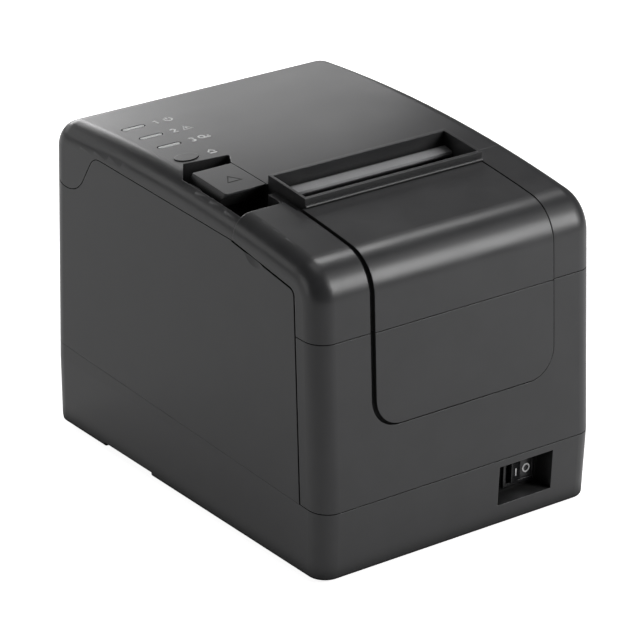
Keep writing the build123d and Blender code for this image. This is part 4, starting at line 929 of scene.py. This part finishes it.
@dataclass
class HeaterLine:
    """The dark glazed line of heating dots along the print head."""

    palette: Palette
    height: float = 0.0008
    bulge: float = 0.00012
    sunk: float = 0.00005
    end_gap: float = 0.002
    middle_z: float = 0.118

    def build(self) -> None:
        """Makes the line.

        It is a shallow ridge along X on the head's rear face: its section is half an
        ellipse, as high as the line and as deep as its bulge, sunk a little in the head.
        """
        low, high = (np.array(corner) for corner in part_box("print_head"))
        turn = np.linspace(-np.pi / 2, np.pi / 2, 9)
        section = np.stack([np.cos(turn) * self.bulge, np.sin(turn) * self.height], axis=1)
        section = np.concatenate([section, [(-self.sunk, self.height), (-self.sunk, -self.height)]])
        ends = np.array([low[0] + self.end_gap, high[0] - self.end_gap])
        path = np.stack([ends, np.full(2, high[1]), np.full(2, self.middle_z)], axis=1)
        back, up = np.tile((0.0, 1.0, 0.0), (2, 1)), np.tile((0.0, 0.0, 1.0), (2, 1))
        shell = Shell.carried(section, path, back, up)
        shell.piece("heater_line", self.palette.mark, Body.HEAD, Slot.CERAMIC)


# ---------------------------------------------------------------- studio
@dataclass(frozen=True)
class Softbox:
    """A square or tall lamp, hung round the printer and turned to face it.

    It hangs at a turn from the front towards the right and at a height, both in
    degrees, at a distance from the target.
    """

    name: str
    turn: float
    height: float
    distance: float
    width: float
    power: float
    tall: float = 0.0
    target: Colour = (0.0, 0.0, 0.08)

    def hang(self) -> bpy.types.Object:
        """Hangs the lamp so that it faces its target."""
        lamp = bpy.data.lights.new(self.name, "AREA")
        lamp.shape = "RECTANGLE"
        lamp.size = self.width
        lamp.size_y = self.tall or self.width
        lamp.energy = self.power
        hung = bpy.data.objects.new(self.name, lamp)
        back = towards(self.turn, self.height)
        hung.matrix_world = facing(back, tuple(self.distance * back + self.target), 0.0)
        bpy.context.collection.objects.link(hung)
        return hung


def towards(turn: float, height: float) -> np.ndarray:
    """Returns the unit direction at a turn from the front and a height, in degrees."""
    a, e = np.radians(turn), np.radians(height)
    return np.array([np.sin(a) * np.cos(e), -np.cos(a) * np.cos(e), np.sin(e)])


def facing(back: np.ndarray, place: Colour, roll: float) -> Matrix:
    """Builds the matrix of something that looks against a direction.

    Its side is level, at right angles to the direction, and its up direction is the
    cross product of the two, both turned by the roll.

    Args:
        back: Unit direction from what is looked at to the place.
        place: Where it stands.
        roll: Turn about the line of sight, in degrees.

    Returns:
        The matrix.
    """
    right = np.cross((0.0, 0.0, 1.0), back)
    right /= np.linalg.norm(right)
    up = np.cross(back, right)
    c, s = np.cos(np.radians(roll)), np.sin(np.radians(roll))
    turned = np.stack([c * right + s * up, c * up - s * right, back, np.array(place)], axis=1)
    return Matrix([*turned.tolist(), [0.0, 0.0, 0.0, 1.0]])


@dataclass
class Studio:
    """Floor, world, lamps and camera."""

    azimuth: float = -37.73327
    elevation: float = 24.21953
    roll: float = 1.27331
    stand: Colour = (-0.885569, -1.144216, 0.715775)
    lens: float = 209.105
    floor_glow: float = 0.9
    shiny_glow: float = 0.28
    world_glow: float = 0.05
    film_width: float = 36.0
    view_reach: float = 20.0
    floor_shade: float = 0.8
    floor_reach: float = 6.0

    def camera(self) -> None:
        """Sets up the camera."""
        lens = bpy.data.cameras.new("camera")
        lens.sensor_width = self.film_width
        lens.lens = self.lens
        lens.clip_end = self.view_reach
        made = bpy.data.objects.new("camera", lens)
        made.matrix_world = facing(towards(self.azimuth, self.elevation), self.stand, self.roll)
        bpy.context.collection.objects.link(made)
        bpy.context.scene.camera = made

    def floor(self) -> None:
        """Lays a wide pale floor that shows white and keeps the shadow."""
        material = bpy.data.materials.new("pale_floor")
        material.use_nodes = True
        material.node_tree.nodes.clear()
        wiring = Wiring(material.node_tree)
        shade = (self.floor_shade, self.floor_shade, self.floor_shade, 1.0)
        pale = wiring.node("ShaderNodeBsdfDiffuse", {"Color": shade}).outputs[0]
        rays = wiring.node("ShaderNodeLightPath").outputs
        shiny = wiring.math("MAXIMUM", rays["Is Glossy Ray"], rays["Is Transmission Ray"])
        camera = wiring.math("MULTIPLY", rays["Is Camera Ray"], self.floor_glow)
        mirrored = wiring.math("MULTIPLY", shiny, self.shiny_glow * self.floor_glow)
        seen = wiring.math("MAXIMUM", camera, mirrored)
        white = {"Color": (1.0, 1.0, 1.0, 1.0), "Strength": seen}
        glow = wiring.node("ShaderNodeEmission", white).outputs[0]
        both = wiring.node("ShaderNodeAddShader", {0: pale, 1: glow}).outputs[0]
        wiring.node("ShaderNodeOutputMaterial", {"Surface": both})
        reach = self.floor_reach
        rim = [(-reach, -reach, 0), (reach, -reach, 0), (reach, reach, 0), (-reach, reach, 0)]
        mesh = bpy.data.meshes.new("floor")
        mesh.from_pydata(rim, [], [(0, 1, 2, 3)])
        mesh.materials.append(material)
        laid = bpy.data.objects.new("floor", mesh)
        bpy.context.collection.objects.link(laid)
        laid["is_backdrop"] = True

    def world(self) -> None:
        """Sets a white background over a soft grey surround."""
        world = bpy.data.worlds.new("surround")
        bpy.context.scene.world = world
        world.use_nodes = True
        world.node_tree.nodes.clear()
        wiring = Wiring(world.node_tree)
        rays = wiring.node("ShaderNodeLightPath").outputs
        strength = wiring.ramp(rays["Is Camera Ray"], 0.0, 1.0, self.world_glow, 1.0)
        white = {"Color": (1.0, 1.0, 1.0, 1.0), "Strength": strength}
        sky = wiring.node("ShaderNodeBackground", white)
        wiring.node("ShaderNodeOutputWorld", {"Surface": sky.outputs[0]})

    def lamps(self) -> list[Softbox]:
        """Returns the lamps, each hung by its turn from the front and its height."""
        return [
            Softbox("lamp_behind", -165, 18, 1.3, 0.5, 1.1),
            Softbox("lamp_behind_left", -135, 18, 1.3, 0.5, 1.05),
            Softbox("lamp_behind_right", 165, 18, 1.3, 0.5, 4.2),
            Softbox("lamp_close", 150, 22, 0.62, 0.28, 0.33),
            Softbox("lamp_left", -100, 12, 1.3, 0.6, 1.6),
            Softbox("lamp_overhead", 0, 88, 1.3, 0.6, 1.3),
            Softbox("lamp_high_side", 110, 60, 1.2, 0.25, 2.6),
            Softbox("lamp_front_right", 42, 30, 1.2, 0.9, 2.7),
            Softbox("lamp_tall_strip", 37, 24, 1.2, 0.36, 5.0, tall=0.5),
        ]

    def build(self) -> None:
        """Sets up the whole studio."""
        self.camera()
        self.floor()
        self.world()
        for lamp in self.lamps():
            lamp.hang()
        bpy.context.scene.view_settings.view_transform = "Standard"


def corners(box: tuple) -> list[list[float]]:
    """Returns a box's two corners as plain lists."""
    return [[float(value) for value in corner] for corner in box]


def main() -> None:
    """Builds the looks in order."""
    logging.basicConfig(level=logging.INFO, format="%(name)s %(message)s")
    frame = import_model()
    before = corners(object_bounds())
    Studio().build()
    palette = Palette(Effects())
    slots = {part["node"]: part["material_slot"] for part in frame["record"]["subparts"]}
    palette.dress(frame["nodes"], slots)
    for kind in (LidMarks, RockerMarks, Contacts, HeaterLine):
        assembly = kind(palette)
        assembly.build()
        LOG.info("%s built", type(assembly).__name__)
    {"cad": before, "visual": corners(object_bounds())}


if __name__ == "__main__":
    main()
